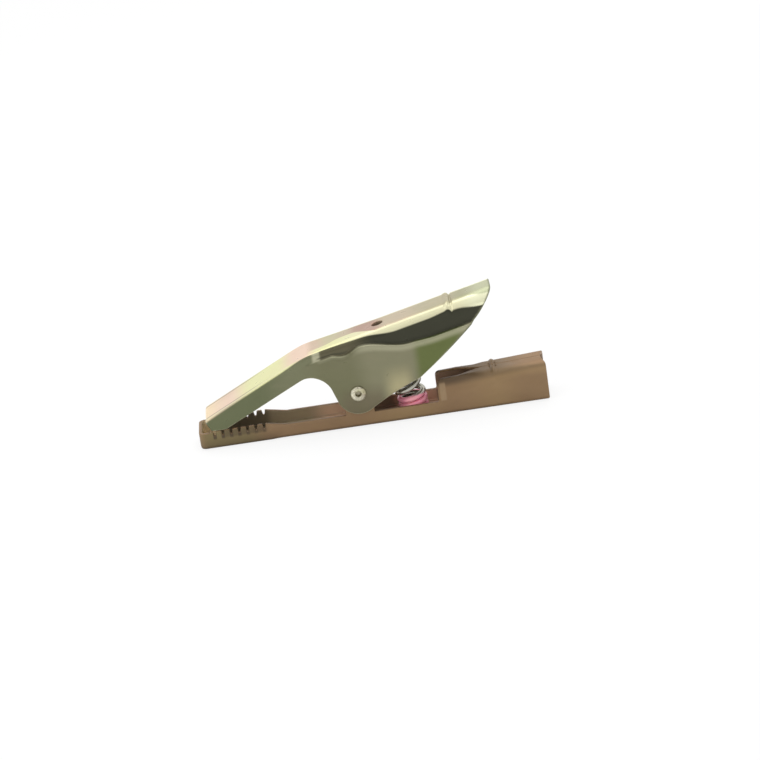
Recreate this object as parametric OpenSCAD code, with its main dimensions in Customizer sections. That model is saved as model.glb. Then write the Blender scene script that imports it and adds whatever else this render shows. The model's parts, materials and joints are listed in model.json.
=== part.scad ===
// Spring clamp: two pressed steel levers on one rivet, held shut by a compression spring.
// Millimetres. Origin: middle of the footprint, on the surface that the clamp rests on.
// +X runs towards the handles, +Y away from the set end of the rivet, +Z up.
// Inside the file, lengths along X and heights Z are counted from the pivot axis.

/* [Overall] */
// From the pivot forward to the nose of the lower lever
lower_front = 52; // [48:0.5:58]
// From the pivot back to the end of the cable barrel
lower_rear = 60; // [54:0.5:68]
// From the pivot forward to the nose of the upper lever
upper_front = 50; // [46:0.5:51]
// From the pivot back to the tip of the upper handle
upper_rear = 46; // [42:0.5:52]
// Height of the pivot axis above the surface that the clamp rests on
pivot_height = 12; // [11:0.1:13]

/* [Sheet] */
// Thickness of the steel sheet of both levers
sheet = 1; // [0.8:0.05:1.2]
// Outside width of the jaws and of the lower lever
jaw_width = 13; // [12:0.1:15]
// Outside radius of the bend along the lower lever's bottom edges
floor_bend = 1.4; // [1.25:0.05:1.8]
// Corner radius of the lower nose, seen from above
nose_corner = 2; // [1.3:0.1:3]

/* [Lower lever] */
// Height of the plain walls above the resting surface
wall_height = 4.7; // [4:0.1:5.4]
// Height of the tooth tips above the resting surface
tooth_height = 6; // [5.5:0.1:6.6]
// Height of the nose's top edge above the resting surface
nose_height = 5.5; // [5:0.1:5.9]
// How far the arm's floor lies above the jaw's floor
floor_step = 0.6; // [0.3:0.1:1]
// Distance between the teeth
tooth_pitch = 2.65; // [2.2:0.05:2.9]
// Number of notches in each jaw wall
notch_count = 7; // [5:1:8]
// Depth of the notches between the teeth
notch_depth = 2.6; // [2:0.1:3]
// Width of the notches at the tooth tips
notch_width = 1.5; // [1.2:0.1:1.9]
// Radius of the lower ears round the pivot
lower_ear_radius = 3.7; // [3:0.1:4.2]

/* [Cable barrel] */
// From the pivot back to where the barrel's walls rise
barrel_start = 25; // [23:0.5:28]
// Height of the barrel at its open end
barrel_height = 13; // [12:0.1:14]
// Height of the walls where the barrel starts
throat_height = 11.3; // [10.5:0.1:12]
// Radius of the barrel's upper edges
barrel_round = 3.6; // [2.5:0.1:4.5]
// Width of the open slot at the front of the barrel
slot_width = 6.4; // [4:0.2:8]
// Length of the slot before the sheet's edges meet
slot_length = 16; // [10:0.5:20]
// Gap between the sheet's edges where the barrel is closed
seam_gap = 0.25; // [0.15:0.05:0.5]
// Height of the raised ridge across the barrel's top
bead_height = 0.45; // [0.2:0.05:0.7]

/* [Upper lever] */
// Slope of the upper handle over the lower lever, in degrees
handle_angle = 12.5; // [10:0.5:14]
// Height of the upper lever's back above the pivot
crown_height = 17.8; // [17:0.1:20]
// From the pivot forward to the bend between jaw and handle
bend_reach = 15.7; // [12:0.1:18]
// Depth of the upper jaw at its nose
nose_depth = 3.5; // [2.8:0.1:4]
// Radius of the upper nose's edges
upper_nose_round = 1.1; // [0.8:0.1:1.5]
// Radius of the jaw's long upper edges
jaw_edge = 0.8; // [0.5:0.1:1.2]
// Radius of the handle's shoulders
shoulder = 2.9; // [2.4:0.1:3.2]
// Depth of the handle's arch below its back
arch_depth = 8; // [7:0.1:9]
// Radius of the ear round the pivot
ear_radius = 6.9; // [6.2:0.1:7.2]
// Radius of the arched cut-out behind the jaw
relief_radius = 7; // [5.5:0.1:7.4]
// From the pivot back to the lower corner of the side plates
corner_reach = 20; // [17:0.5:22]
// Height of that corner above the pivot
corner_rise = 2.2; // [1:0.1:3]

/* [Pivot] */
// Diameter of the rivet's shank
rivet_d = 3.4; // [2.8:0.1:4]
// Diameter of the rivet's heads
rivet_head_d = 4.9; // [4.6:0.1:6]
// Height of the rivet's heads
rivet_head_h = 0.9; // [0.6:0.05:1.2]
// Diameter of the hollow in the rivet's set end
rivet_hollow_d = 1.8; // [1.2:0.1:2.1]

/* [Spring] */
// Diameter of the spring wire
wire_d = 2; // [1.6:0.05:2.1]
// Number of turns
turns = 9; // [7:1:9]
// From the pivot back to the foot of the spring
spring_foot = 17; // [15.5:0.1:18]
// From the pivot back to the hole that the spring's top is centred on
spring_head = 9; // [7:0.1:10]
// Height of the boss and the collar that the spring sits round
locator_height = 1.2; // [0.8:0.1:1.6]

/* [Fits] */
// Gap between the lower walls and the upper ears, each side
ear_gap = 0.15; // [0.1:0.05:0.4]
// Radial clearance of the shank in the upper ears
pivot_clearance = 0.05; // [0.02:0.01:0.1]
// Radial clearance of the shank in the lower ears
rivet_clearance = 0.02; // [0.01:0.01:0.05]
// Gap between the rivet's heads and the ears
head_gap = 0.05; // [0.02:0.01:0.2]
// Gap between the tooth tips and the upper jaw when the clamp is shut
jaw_gap = 0.12; // [0.05:0.01:0.4]
// Gap between the spring and the walls, each side
spring_side_gap = 0.6; // [0.4:0.05:1]
// Gap between the spring's coils and the boss or the collar
locator_gap = 0.3; // [0.2:0.05:0.5]
// Gap between the spring's ends and the sheet that they press on
seat_gap = 0.06; // [0.02:0.01:0.2]

/* [Hidden] */
$fn = 64;

// Colours of the finishes
lower_colour = "#8a7050";
upper_colour = "#a8a266";
rivet_colour = "#cfc9b4";
spring_colour = "#b48f98";

// Frame
pivot_x = (lower_front - lower_rear) / 2;
rest = -pivot_height;
half = jaw_width / 2;
past = 4;

// Lower lever
tooth_z = rest + tooth_height;
wall_z = rest + wall_height;
nose_z = rest + nose_height;
first_notch = lower_front - 5;
last_notch = first_notch - (notch_count - 1) * tooth_pitch;
jaw_end = last_notch - tooth_pitch / 2;
ramp = 3;
nose_foot = 1.1;
ear_foot = 1.3;
throat_top = rest + throat_height;
barrel_top = rest + barrel_height;
slot_end = barrel_start + slot_length;
bead_x = slot_end + 2.3;
bead_half = 1.3;
barrel_corner = 1.5;
tail_corner = 1.2;
tail_foot = 0.8;
lean_start = 7;
open_top = lower_ear_radius + 2;
curl_steps = 5;

// Upper lever
plate_half = half + ear_gap + sheet;
arch_half = half - 0.1;
nose_top = tooth_z + jaw_gap + nose_depth;
jaw_foot = tooth_z + jaw_gap;
jaw_flat = 6.5;
bend_round = 0.3;
flare_height = 0.8;
front_crease = 3.2;
nose_lean = 0.45;
lean_run = 12;
shoulder_late = 0.7;
shoulder_run = 12;
relief_x = -bend_reach + 0.5;
relief_z = 0.9;
crimp_reach = 13.8;
crimp_x = upper_rear - crimp_reach;
crimp_half = 1.3;
crimp_height = 0.35;
crimp_round = 1;
plate_foot = rest + 2;
knee_reach = 6;
knee_drop = 7.8;

// Pivot
shank_r = rivet_d / 2;
head_seat = plate_half + head_gap;

// Spring
coil_r = half - sheet - spring_side_gap - wire_d / 2;
locator_r = coil_r - wire_d / 2 - locator_gap;
hole_r = locator_r - 0.75 * sheet;
coil_rings = 8;
wire_sides = 6;
closed_turns = 1.1;
opening_turns = 0.5;
closed_gap = 0.55;

// ---- helpers ----

function mix(a, b, t) = a + (b - a) * t;

// 0 below a, 1 above b, smooth between
function ease(x, a, b) = let (t = max(0, min(1, (x - a) / (b - a)))) t * t * (3 - 2 * t);

// A smooth bump of height 1 at the middle of its width
function bump(x, middle, half_width) = pow(max(0, 1 - pow((x - middle) / half_width, 2)), 2);

// How far a rounded end draws in, a distance d behind its face
function round_in(d, r) = d >= r ? 0 : r - sqrt(max(0, r * r - (r - d) * (r - d)));

// Even steps from a to b, without b
function steps(a, b, n) = [for (k = [0:n - 1]) a + (b - a) * k / n];

// Points between p and q on a shallow bow that swells by s to the right of the way from p to q
function bow(p, q, s, n) = let (d = q - p, u = [d.y, -d.x] / norm(d))
  [for (k = [1:n - 1]) let (t = k / n) p + d * t + u * s * 4 * t * (1 - t)];

// Where the line from p touches the circle round c on its side (1 or -1)
function touch(p, c, r, side) =
  let (d = p - c, a = atan2(d.y, d.x) + side * acos(r / norm(d))) c + r * [cos(a), sin(a)];

// Triangles that close a ring of m points from number first, in strips across it
function cap(first, m) = [for (j = [0:m / 2 - 2]) each
  let (a = first + j, b = a + 1, c = first + m - 2 - j, d = c + 1) [[a, b, c], [a, c, d]]];

function turned(faces) = [for (f = faces) [f[2], f[1], f[0]]];

// A solid through rings of points that run clockwise as seen from +X
module loft(rings) {
  n = len(rings);
  m = len(rings[0]);
  polyhedron(
    points = [for (ring = rings) each ring],
    faces = concat(
      turned(cap(0, m)),
      [for (i = [0:n - 2]) for (j = [0:m - 1]) each
        let (a = i * m + j, b = i * m + (j + 1) % m, c = b + m, d = a + m) [[a, b, c], [a, c, d]]],
      cap((n - 1) * m, m)),
    convexity = 8);
}

// A ring from its +Y half, listed downwards or upwards, each point being [x, y, z]
function both_sides(pts) = concat(pts, [for (k = [len(pts) - 1:-1:0]) [pts[k].x, -pts[k].y, pts[k].z]]);

// Everything behind a side outline, which is drawn in X and Z
module side_cut(width) {
  rotate([90, 0, 0]) linear_extrude(height = width, center = true) children();
}

// A cylinder along Y through both sides
module cross_hole(r) {
  rotate([90, 0, 0]) cylinder(r = r, h = 4 * jaw_width, center = true);
}

module at_pivot() {
  translate([pivot_x, 0, pivot_height]) children();
}

// ---- lower lever ----

// Underside of the floor: level under the jaw, stepped up behind it, then falling to the tail
function floor_z(x) = rest + floor_step * ease(x, -jaw_end, -jaw_end + 4 * ramp / 3)
  * min(1, (lower_rear - x) / (lower_rear + jaw_end));

// Top of the barrel
function barrel_z(x) = mix(throat_top, barrel_top, max(0, (x - barrel_start) / (lower_rear - barrel_start)))
  + bead_height * bump(x, bead_x, bead_half);

// How far the walls are curled over, from 0 to 1
function curl(x) = ease(x, barrel_start - lean_start, barrel_start);

// How far the slot between the curled edges has closed
function closed(x) = ease(x, barrel_start + slot_length / 3, slot_end);

// The curled part of a wall, on the outside (inset 0) or the inside (inset = sheet)
function curled(x, inset) =
  let (
    top = barrel_z(x),
    shut = closed(x),
    foot = [half - inset, mix(wall_z, top - barrel_round, shut)],
    turn = [half, mix((wall_z + top) / 2, top, shut)],
    end = [mix(slot_width / 2 + sheet, half - barrel_round, shut), top],
    way = (end - turn) / norm(end - turn),
    out = [way.y, -way.x],
    in_turn = turn - inset * [1, mix(0.35, 1, shut)],
    in_end = end - inset * out)
  [for (k = [0:curl_steps]) let (t = k / curl_steps)
    pow(1 - t, 2) * foot + 2 * t * (1 - t) * in_turn + t * t * in_end];

// The same stretch of wall where it stands straight
function straight(w, x) = [for (k = [0:curl_steps]) [w, mix(wall_z, open_top, k / curl_steps)]];

function lower_section(x, inset) =
  let (
    d = x + lower_front - inset,
    draw = round_in(d, max(0.1, nose_corner - inset)),
    lift = round_in(d, max(0.1, nose_foot - inset)),
    w = half - inset - draw,
    z = floor_z(x) + inset + lift,
    r = floor_bend - inset,
    c = curl(x),
    bent = curled(x, inset),
    plain = straight(w, x),
    arc_steps = 3,
    neck = inset > 0 ? mix(slot_width / 2, seam_gap / 2, closed(x)) : 0)
  concat(
    inset > 0 ? [[mix(w, neck, c), open_top + past],
      [mix(w, neck, c), mix(open_top + 1, bent[curl_steps].y + seam_gap / 2, c)]] : [],
    [for (k = [curl_steps:-1:0]) mix(plain[k], bent[k], c)],
    [for (k = [0:arc_steps]) let (a = 90 * k / arc_steps) [w - r + r * cos(a), z + r - r * sin(a)]]);

function lower_stations(inset) =
  let (x0 = -lower_front + inset, r = max(nose_corner - inset, 0.4))
  concat(
    [for (k = [0:4]) x0 + r * (1 - cos(90 * k / 5))],
    steps(x0 + r, -jaw_end, 1),
    steps(-jaw_end, -jaw_end + 4 * ramp / 3, 4),
    steps(-jaw_end + 4 * ramp / 3, barrel_start - lean_start, 1),
    steps(barrel_start - lean_start, barrel_start + slot_length / 3, 7),
    steps(barrel_start + slot_length / 3, bead_x - bead_half, 7),
    steps(bead_x - bead_half, bead_x + bead_half, 6),
    [bead_x + bead_half, lower_rear + past + inset]);

module lower_skin(inset) {
  loft([for (x = lower_stations(inset)) both_sides([for (p = lower_section(x, inset)) [x, p.x, p.y]])]);
}

// Side view of the lower lever's upper edges
module lower_outline() {
  difference() {
    union() {
      polygon(concat(
        [[-lower_front - past, rest - past], [-lower_front - past, nose_z], [-first_notch - notch_width, nose_z]],
        [[-first_notch - notch_width / 2 - 0.4, tooth_z], [-jaw_end - 0.6, tooth_z]],
        [[-jaw_end + ramp / 2, wall_z], [barrel_start - 0.8, wall_z], [barrel_start - 0.2, wall_z + 0.6]],
        [for (k = [0:4]) let (a = 180 - 90 * k / 4, top = barrel_z(barrel_start + barrel_corner) + 0.02)
          [barrel_start + barrel_corner + barrel_corner * cos(a), top - barrel_corner + barrel_corner * sin(a)]],
        [[barrel_start + 2 * barrel_corner, open_top], [lower_rear - tail_corner, open_top]],
        [for (k = [0:4]) let (a = 90 - 90 * k / 4)
          [lower_rear - tail_corner * (1 - cos(a)), barrel_top - tail_corner * (1 - sin(a))]],
        [for (k = [0:3]) let (a = -90 * k / 3)
          [lower_rear - tail_foot * (1 - cos(a)), rest + tail_foot * (1 + sin(a))]],
        [[lower_rear - tail_foot, rest - past]]));
      // Ears round the pivot
      circle(r = lower_ear_radius);
      polygon([[-lower_ear_radius - ear_foot, wall_z - sheet], [-lower_ear_radius - ear_foot, wall_z],
        [-lower_ear_radius, 0], [lower_ear_radius, 0], [lower_ear_radius + ear_foot / 2, wall_z],
        [lower_ear_radius + ear_foot / 2, wall_z - sheet]]);
    }
    // Notches between the teeth
    for (k = [0:notch_count - 1]) translate([-first_notch + k * tooth_pitch, tooth_z])
      polygon([[-notch_width / 2, 0.01], [notch_width / 2, 0.01], [0, -notch_depth]]);
  }
}

module lower_lever() {
  foot_z = floor_z(spring_foot);
  color(lower_colour) at_pivot() difference() {
    union() {
      intersection() {
        difference() {
          lower_skin(0);
          lower_skin(sheet);
        }
        side_cut(2 * jaw_width) lower_outline();
      }
      // Boss pressed up inside the foot of the spring
      translate([spring_foot, 0, foot_z + sheet / 2]) cylinder(r = locator_r, h = sheet / 2 + locator_height);
    }
    translate([spring_foot, 0, foot_z - sheet])
      cylinder(r = locator_r - sheet, h = sheet + locator_height);
    cross_hole(shank_r + rivet_clearance);
  }
}

// ---- upper lever ----

function handle_line(x) = crown_height + tan(handle_angle) * x;

jaw_slope = (handle_line(-bend_reach) - nose_top) / (upper_front - bend_reach);

function jaw_line(x) = nose_top + jaw_slope * (x + upper_front);

// Top of the sheet along the middle, with the bend rounded
function back_z(x) = let (a = handle_line(x), b = jaw_line(x))
  (a + b) / 2 - sqrt(pow((a - b) / 2, 2) + bend_round * bend_round) + crimp_height * bump(x, crimp_x, crimp_half);

// Depth of the sheet along a vertical, where its back slopes
function sheet_drop(x) = sheet * sqrt(1 + pow(x < -bend_reach ? jaw_slope : tan(handle_angle), 2));

// Radius of the long upper edges: crisp on the jaw, full on the handle
function edge_r(x) = jaw_edge + (shoulder - shoulder_late - jaw_edge) * ease(x, -bend_reach - 4, 0)
  + shoulder_late * ease(x, 0, shoulder_run)
  + crimp_round * ease(x, crimp_x - crimp_half, crimp_x + crimp_half);

// Outside half width of the back and of the side plates
function back_half(x) = mix(half, arch_half, ease(x, -bend_reach, 0));
function side_half(x) = mix(half, plate_half, ease(x, -bend_reach - 1, -ear_radius - 1));

// Depth at which the sides step out to the plates
function crease(x) = mix(front_crease, arch_depth, ease(x, 2, spring_foot + 2));

// How far the lower end of a station leans back, so that the nose stands square to the jaw
function lean(x) = nose_lean * (1 - ease(x, -upper_front, -upper_front + lean_run));

function upper_section(x, inset) =
  let (
    d = x + upper_front - inset,
    draw = round_in(d, max(0.1, upper_nose_round - inset)),
    top = back_z(x) - (inset > 0 ? sheet_drop(x) : 0) - draw,
    w = back_half(x) - inset - draw,
    wp = side_half(x) - inset - draw,
    r = max(edge_r(x) - inset, 0.15),
    tuck = inset * tan(atan2(wp - w, flare_height) / 2),
    crease_z = back_z(x) - crease(x) - tuck,
    arc_steps = 4,
    flare_steps = 3)
  concat(
    [for (k = [0:arc_steps]) let (a = 90 * k / arc_steps) [w - r + r * sin(a), top - r + r * cos(a)]],
    [for (k = [0:flare_steps]) let (t = k / flare_steps)
      [mix(w, wp, (1 - cos(180 * t)) / 2), crease_z + flare_height * (1 - t)]],
    [[wp, plate_foot - (inset > 0 ? past : 0)]]);

function upper_stations(inset) =
  let (x0 = -upper_front + inset, r = max(upper_nose_round - inset, 0.2))
  concat(
    [for (k = [0:3]) x0 + r * (1 - cos(90 * k / 4))],
    steps(x0 + r, -upper_front + lean_run, 3),
    steps(-upper_front + lean_run, -bend_reach - 4, 2),
    steps(-bend_reach - 4, 0, 9),
    steps(0, spring_foot + 2, 8),
    steps(spring_foot + 2, crimp_x - crimp_half, 2),
    steps(crimp_x - crimp_half, crimp_x + crimp_half, 6),
    [crimp_x + crimp_half, upper_rear + past + inset]);

module upper_skin(inset) {
  loft([for (x = upper_stations(inset)) both_sides([for (p = upper_section(x, inset))
    [x + lean(x) * (back_z(x) - p.y), p.x, p.y]])]);
}

// Side view of the upper lever
module upper_outline() {
  relief = [relief_x, relief_z];
  foot = [-upper_front + jaw_flat, jaw_foot];
  corner = [corner_reach, corner_rise];
  tip = [upper_rear, back_z(upper_rear)];
  knee = tip - [knee_reach, knee_drop];
  // The straight edge that touches both the relief and the ear
  apart = norm(relief);
  across = atan2(-relief.y, -relief.x) + acos((relief_radius + ear_radius) / apart);
  ear_touch = touch(corner, [0, 0], ear_radius, -1);
  difference() {
    union() {
      polygon(concat(
        [[-upper_front - past, back_z(upper_rear) + past], [-upper_front - past, jaw_foot], foot],
        [touch(foot, relief, relief_radius, -1)],
        [relief + relief_radius * [cos(across), sin(across)], -ear_radius * [cos(across), sin(across)]],
        [[0, 0], ear_touch],
        bow(ear_touch, corner, -0.5, 6), [corner],
        bow(corner, knee, 0.6, 6), [knee],
        bow(knee, tip, 0.35, 4), [tip],
        [tip + [past / 2, past]]));
      circle(r = ear_radius);
    }
    translate(relief) circle(r = relief_radius);
  }
}

module upper_lever() {
  color(upper_colour) at_pivot() difference() {
    union() {
      intersection() {
        difference() {
          upper_skin(0);
          upper_skin(sheet);
        }
        side_cut(2 * jaw_width) upper_outline();
      }
      // Collar drawn down from the back, inside the head of the spring
      web_frame() translate([0, 0, -sheet - locator_height])
        cylinder(r = locator_r, h = sheet / 2 + locator_height);
    }
    web_frame() cylinder(r = hole_r, h = 6 * sheet, center = true);
    cross_hole(shank_r + pivot_clearance);
  }
}

// Puts its children on the handle's back over the spring, with Z square to the sheet
module web_frame() {
  translate([spring_head, 0, back_z(spring_head)]) rotate([0, -handle_angle, 0]) children();
}

// ---- pivot ----

module pivot_rivet() {
  head_r = rivet_head_d / 2;
  hollow_r = rivet_hollow_d / 2;
  lip = (head_r - hollow_r) / 2;
  color(rivet_colour) at_pivot() rotate([-90, 0, 0]) rotate_extrude() polygon(concat(
    // Rolled lip of the set end
    [[0, 2.5 - head_seat], [hollow_r, 2 - head_seat], [hollow_r, -head_seat - rivet_head_h / 3]],
    [for (k = [0:8]) let (a = 180 - 180 * k / 8)
      [hollow_r + lip + lip * cos(a), -head_seat - rivet_head_h / 3 - rivet_head_h * 2 / 3 * sin(a)]],
    [[head_r, -head_seat], [shank_r, -head_seat], [shank_r, head_seat], [head_r, head_seat]],
    // Domed factory head
    [for (k = [0:8]) let (a = 90 * k / 8)
      [head_r * cos(a), head_seat + rivet_head_h / 4 + rivet_head_h * 3 / 4 * sin(a)]]));
}

// ---- spring ----

foot_point = [spring_foot, floor_z(spring_foot) + sheet + seat_gap + wire_d / 2];
web_normal = [-sin(handle_angle), cos(handle_angle)];
// The top coil lies a little deeper than its wire, because the handle's shoulders are round
head_point = [spring_head, back_z(spring_head)] - web_normal * (sheet + 3 * seat_gap + wire_d / 2);
span = norm(head_point - foot_point);

// Axis of the spring: square to the floor at its foot and to the handle at its head
function axis_point(t) =
  let (a = pow(1 - t, 3), b = 3 * t * pow(1 - t, 2), c = 3 * t * t * (1 - t), d = pow(t, 3))
  a * foot_point + b * (foot_point + [0, span / 3]) + c * (head_point - web_normal * span / 3) + d * head_point;
function axis_way(t) = let (e = 0.001, v = axis_point(min(1, t + e)) - axis_point(max(0, t - e))) v / norm(v);

// Share of the axis climbed after q turns: the end turns are closed and the others open evenly
closed_rise = (wire_d + closed_gap) / span;
extra_rise = (1 - closed_rise * turns) / (turns - 2 * closed_turns - opening_turns);
function climb(q) = q > turns / 2 ? 1 - climb(turns - q)
  : let (past_closed = max(0, q - closed_turns), part = min(past_closed, opening_turns))
    closed_rise * q + extra_rise * (past_closed - part + part * part / (2 * opening_turns));

// Direction from the axis to the wire after q turns: the coil is right-handed and starts at the near wall
function radial(q) = let (v = axis_way(climb(q)), a = 360 * q - 90) [v.y * cos(a), sin(a), -v.x * cos(a)];
function wire_point(q) = let (p = axis_point(climb(q))) [p.x, 0, p.y] + coil_r * radial(q);
function wire_way(q) =
  let (e = 0.002, v = wire_point(min(turns, q + e)) - wire_point(max(0, q - e))) v / norm(v);

// Direction of the wire's ends, square to the axis
function end_way(q) = let (v = axis_way(climb(q))) cross([v.x, 0, v.y], radial(q));

ring_count = round(turns * coil_rings);

// Middle of the wire and its turn count, ring by ring. The ends run straight for one wire diameter
wire_path = concat(
  [[wire_point(0) - wire_d * end_way(0), 0]],
  [for (k = [0:ring_count]) let (q = turns * k / ring_count) [wire_point(q), q]],
  [[wire_point(turns) + wire_d * end_way(turns), turns]]);

function wire_ring(p, q) =
  let (way = wire_way(q), r0 = radial(q), r1 = r0 - (r0 * way) * way, r = r1 / norm(r1), b = cross(way, r))
  [for (k = [0:wire_sides - 1]) let (a = -360 * k / wire_sides) p + wire_d / 2 * (cos(a) * r + sin(a) * b)];

// Least gap between one turn and the next
apart_steps = coil_rings - 2;
spring_gap = min([for (i = [0:len(wire_path) - 1]) for (j = [i + apart_steps:1:len(wire_path) - 1])
  norm(wire_path[i][0] - wire_path[j][0])]) - wire_d;

module spring() {
  echo(spring_least_gap_to_itself_mm = spring_gap);
  color(spring_colour) at_pivot() loft([for (s = wire_path) wire_ring(s[0], s[1])]);
}

lower_lever();
upper_lever();
pivot_rivet();
spring();
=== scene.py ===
"""Spring clamp: two pressed steel levers on one rivet, held shut by a compression spring.

Lengths are metres. The forms of the levers are worked out from the pivot, with X towards the handles,
Y along the rivet and Z up, and then moved to the frame.
"""

import json
import math

import bmesh
import bpy
from bpy.props import FloatProperty, FloatVectorProperty, IntProperty, PointerProperty
from mathutils import Matrix, Vector


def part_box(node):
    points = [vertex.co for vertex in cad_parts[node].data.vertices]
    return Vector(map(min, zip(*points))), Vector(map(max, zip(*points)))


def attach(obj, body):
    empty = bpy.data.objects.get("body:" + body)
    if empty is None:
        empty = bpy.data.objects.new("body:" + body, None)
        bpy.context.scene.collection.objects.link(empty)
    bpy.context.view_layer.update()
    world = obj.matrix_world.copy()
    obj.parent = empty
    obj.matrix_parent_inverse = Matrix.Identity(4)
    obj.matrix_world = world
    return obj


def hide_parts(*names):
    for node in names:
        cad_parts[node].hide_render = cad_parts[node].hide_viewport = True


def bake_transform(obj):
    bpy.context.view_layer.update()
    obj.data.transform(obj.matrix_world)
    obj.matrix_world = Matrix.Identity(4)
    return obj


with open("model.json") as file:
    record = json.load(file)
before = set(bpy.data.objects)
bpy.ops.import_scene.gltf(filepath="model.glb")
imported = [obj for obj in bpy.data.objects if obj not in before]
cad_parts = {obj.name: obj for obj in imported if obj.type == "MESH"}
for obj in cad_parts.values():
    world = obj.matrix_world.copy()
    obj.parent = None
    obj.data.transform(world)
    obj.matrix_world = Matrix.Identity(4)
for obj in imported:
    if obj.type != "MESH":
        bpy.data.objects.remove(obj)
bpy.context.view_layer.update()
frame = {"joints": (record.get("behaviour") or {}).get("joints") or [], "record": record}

bl_info = {
    "name": "Spring clamp",
    "version": (1, 0, 0),
    "blender": (4, 5, 0),
    "location": "3D View > Sidebar > Spring clamp",
    "description": "Builds a sprung steel clamp with a toothed jaw and a rolled cable barrel",
    "category": "Add Mesh",
}

MM = 0.001
LEAST_RADIUS = 0.1 * MM
EDGE_REACH = 5 * MM
LEAST_LENGTH = 1e-12
PIVOT = Vector(frame["joints"][0]["pos_m"])
LOWER_LOW, LOWER_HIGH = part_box("lower_lever")
UPPER_LOW, UPPER_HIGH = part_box("upper_lever")
RIVET_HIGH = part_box("pivot_rivet")[1]
WEB_HOLE = next(m for m in frame["record"]["mounts"] if m["name"] == "web_hole")


# ---- properties ----


def length(name, default, about):
    return FloatProperty(name=name, default=default, description=about, unit="LENGTH", precision=5, min=0)


def angle(name, degrees, about):
    return FloatProperty(name=name, default=math.radians(degrees), description=about, subtype="ANGLE")


def linear(screen):
    """The linear values of a colour that is given as it looks on a screen."""
    return [((c + 0.055) / 1.055) ** 2.4 if c > 0.04045 else c / 12.92 for c in screen]


def tint(name, screen, about):
    look = linear(screen)
    return FloatVectorProperty(name=name, default=look, description=about, subtype="COLOR", min=0, max=1)


class ClampLeverSizes(bpy.types.PropertyGroup):
    lower_front: length("Lower nose", PIVOT.x - LOWER_LOW.x, "From the pivot to the nose of the lower lever")
    lower_rear: length("Barrel end", LOWER_HIGH.x - PIVOT.x, "From the pivot to the end of the cable barrel")
    upper_front: length("Upper nose", PIVOT.x - UPPER_LOW.x, "From the pivot to the nose of the upper lever")
    upper_rear: length("Handle tip", UPPER_HIGH.x - PIVOT.x, "From the pivot to the tip of the upper handle")
    sheet: length("Sheet", 1.0 * MM, "Thickness of the steel sheet")
    half: length("Half width", 6.5 * MM, "From the middle to the outside of the jaws")
    plate_half: length("Plate half width", UPPER_HIGH.y, "From the middle to the outside of the side plates")
    cut_round: length("Cut edge radius", 0.16 * MM, "Radius of the tumbled edges of the cut sheet")
    floor_bend: length("Floor bend", 1.4 * MM, "Outside radius of the lower lever's bottom edges")
    nose_corner: length("Nose corner", 2.0 * MM, "Corner radius of the lower nose, seen from above")
    wall_height: length("Wall height", 4.7 * MM, "Height of the lower walls above the resting surface")
    tooth_height: length("Tooth height", 6.0 * MM, "Height of the tooth tips above the resting surface")
    nose_height: length("Nose height", 5.5 * MM, "Height of the lower nose above the resting surface")
    floor_step: length("Floor step", 0.15 * MM, "How far the arm's floor lies above the jaw's floor")
    tooth_pitch: length("Tooth pitch", 2.65 * MM, "Distance between the teeth")
    notch_count: IntProperty(name="Notches", default=7, min=1, description="Notches in each jaw wall")
    notch_depth: length("Notch depth", 1.6 * MM, "Depth of the notches between the teeth")
    notch_width: length("Notch width", 0.95 * MM, "Width of the notches at the tooth tips")
    ear_radius_lower: length("Lower ear", 3.7 * MM, "Radius of the lower ears round the pivot")
    barrel_start: length("Barrel start", 25.0 * MM, "From the pivot to where the barrel's walls rise")
    barrel_height: length("Barrel height", 13.0 * MM, "Height of the barrel at its open end")
    throat_height: length("Throat height", 11.3 * MM, "Height of the walls where the barrel starts")
    barrel_round: length("Barrel round", 3.6 * MM, "Radius of the barrel's upper edges")
    slot_width: length("Slot width", 6.4 * MM, "Width of the open slot at the front of the barrel")
    slot_length: length("Slot length", 16.0 * MM, "Length of the slot before the sheet's edges meet")
    seam_gap: length("Seam gap", 0.12 * MM, "Gap between the sheet's edges where the barrel is closed")
    bead_height: length("Ridge height", 0.5 * MM, "Height of the raised ridge across the barrel's top")
    mouth_swell: length("Mouth swell", 0.3 * MM, "Swelling of the barrel's walls behind their front edge")
    handle_angle: angle("Handle angle", 12.5, "Slope of the upper handle")
    crown_height: length("Crown height", 17.8 * MM, "Height of the upper lever's back above the pivot")
    bend_reach: length("Bend reach", 15.7 * MM, "From the pivot forward to the bend between jaw and handle")
    nose_depth: length("Nose depth", 3.5 * MM, "Depth of the upper jaw at its nose")
    upper_nose_round: length("Upper nose round", 1.1 * MM, "Radius of the upper nose's edges")
    jaw_edge: length("Jaw edge", 0.8 * MM, "Radius of the jaw's long upper edges")
    shoulder: length("Shoulder", 2.9 * MM, "Radius of the handle's shoulders")
    arch_depth: length("Arch depth", 8.0 * MM, "Depth of the handle's arch below its back")
    ear_radius: length("Upper ear", 6.9 * MM, "Radius of the upper ears round the pivot")
    relief_radius: length("Relief radius", 7.0 * MM, "Radius of the arched cut-out behind the jaw")
    corner_reach: length("Corner reach", 20.0 * MM, "From the pivot to the lower corner of the side plates")
    corner_rise: length("Corner rise", 2.2 * MM, "Height of that corner above the pivot")
    jaw_gap: length("Jaw gap", 0.12 * MM, "Gap between the tooth tips and the shut upper jaw")


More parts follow.
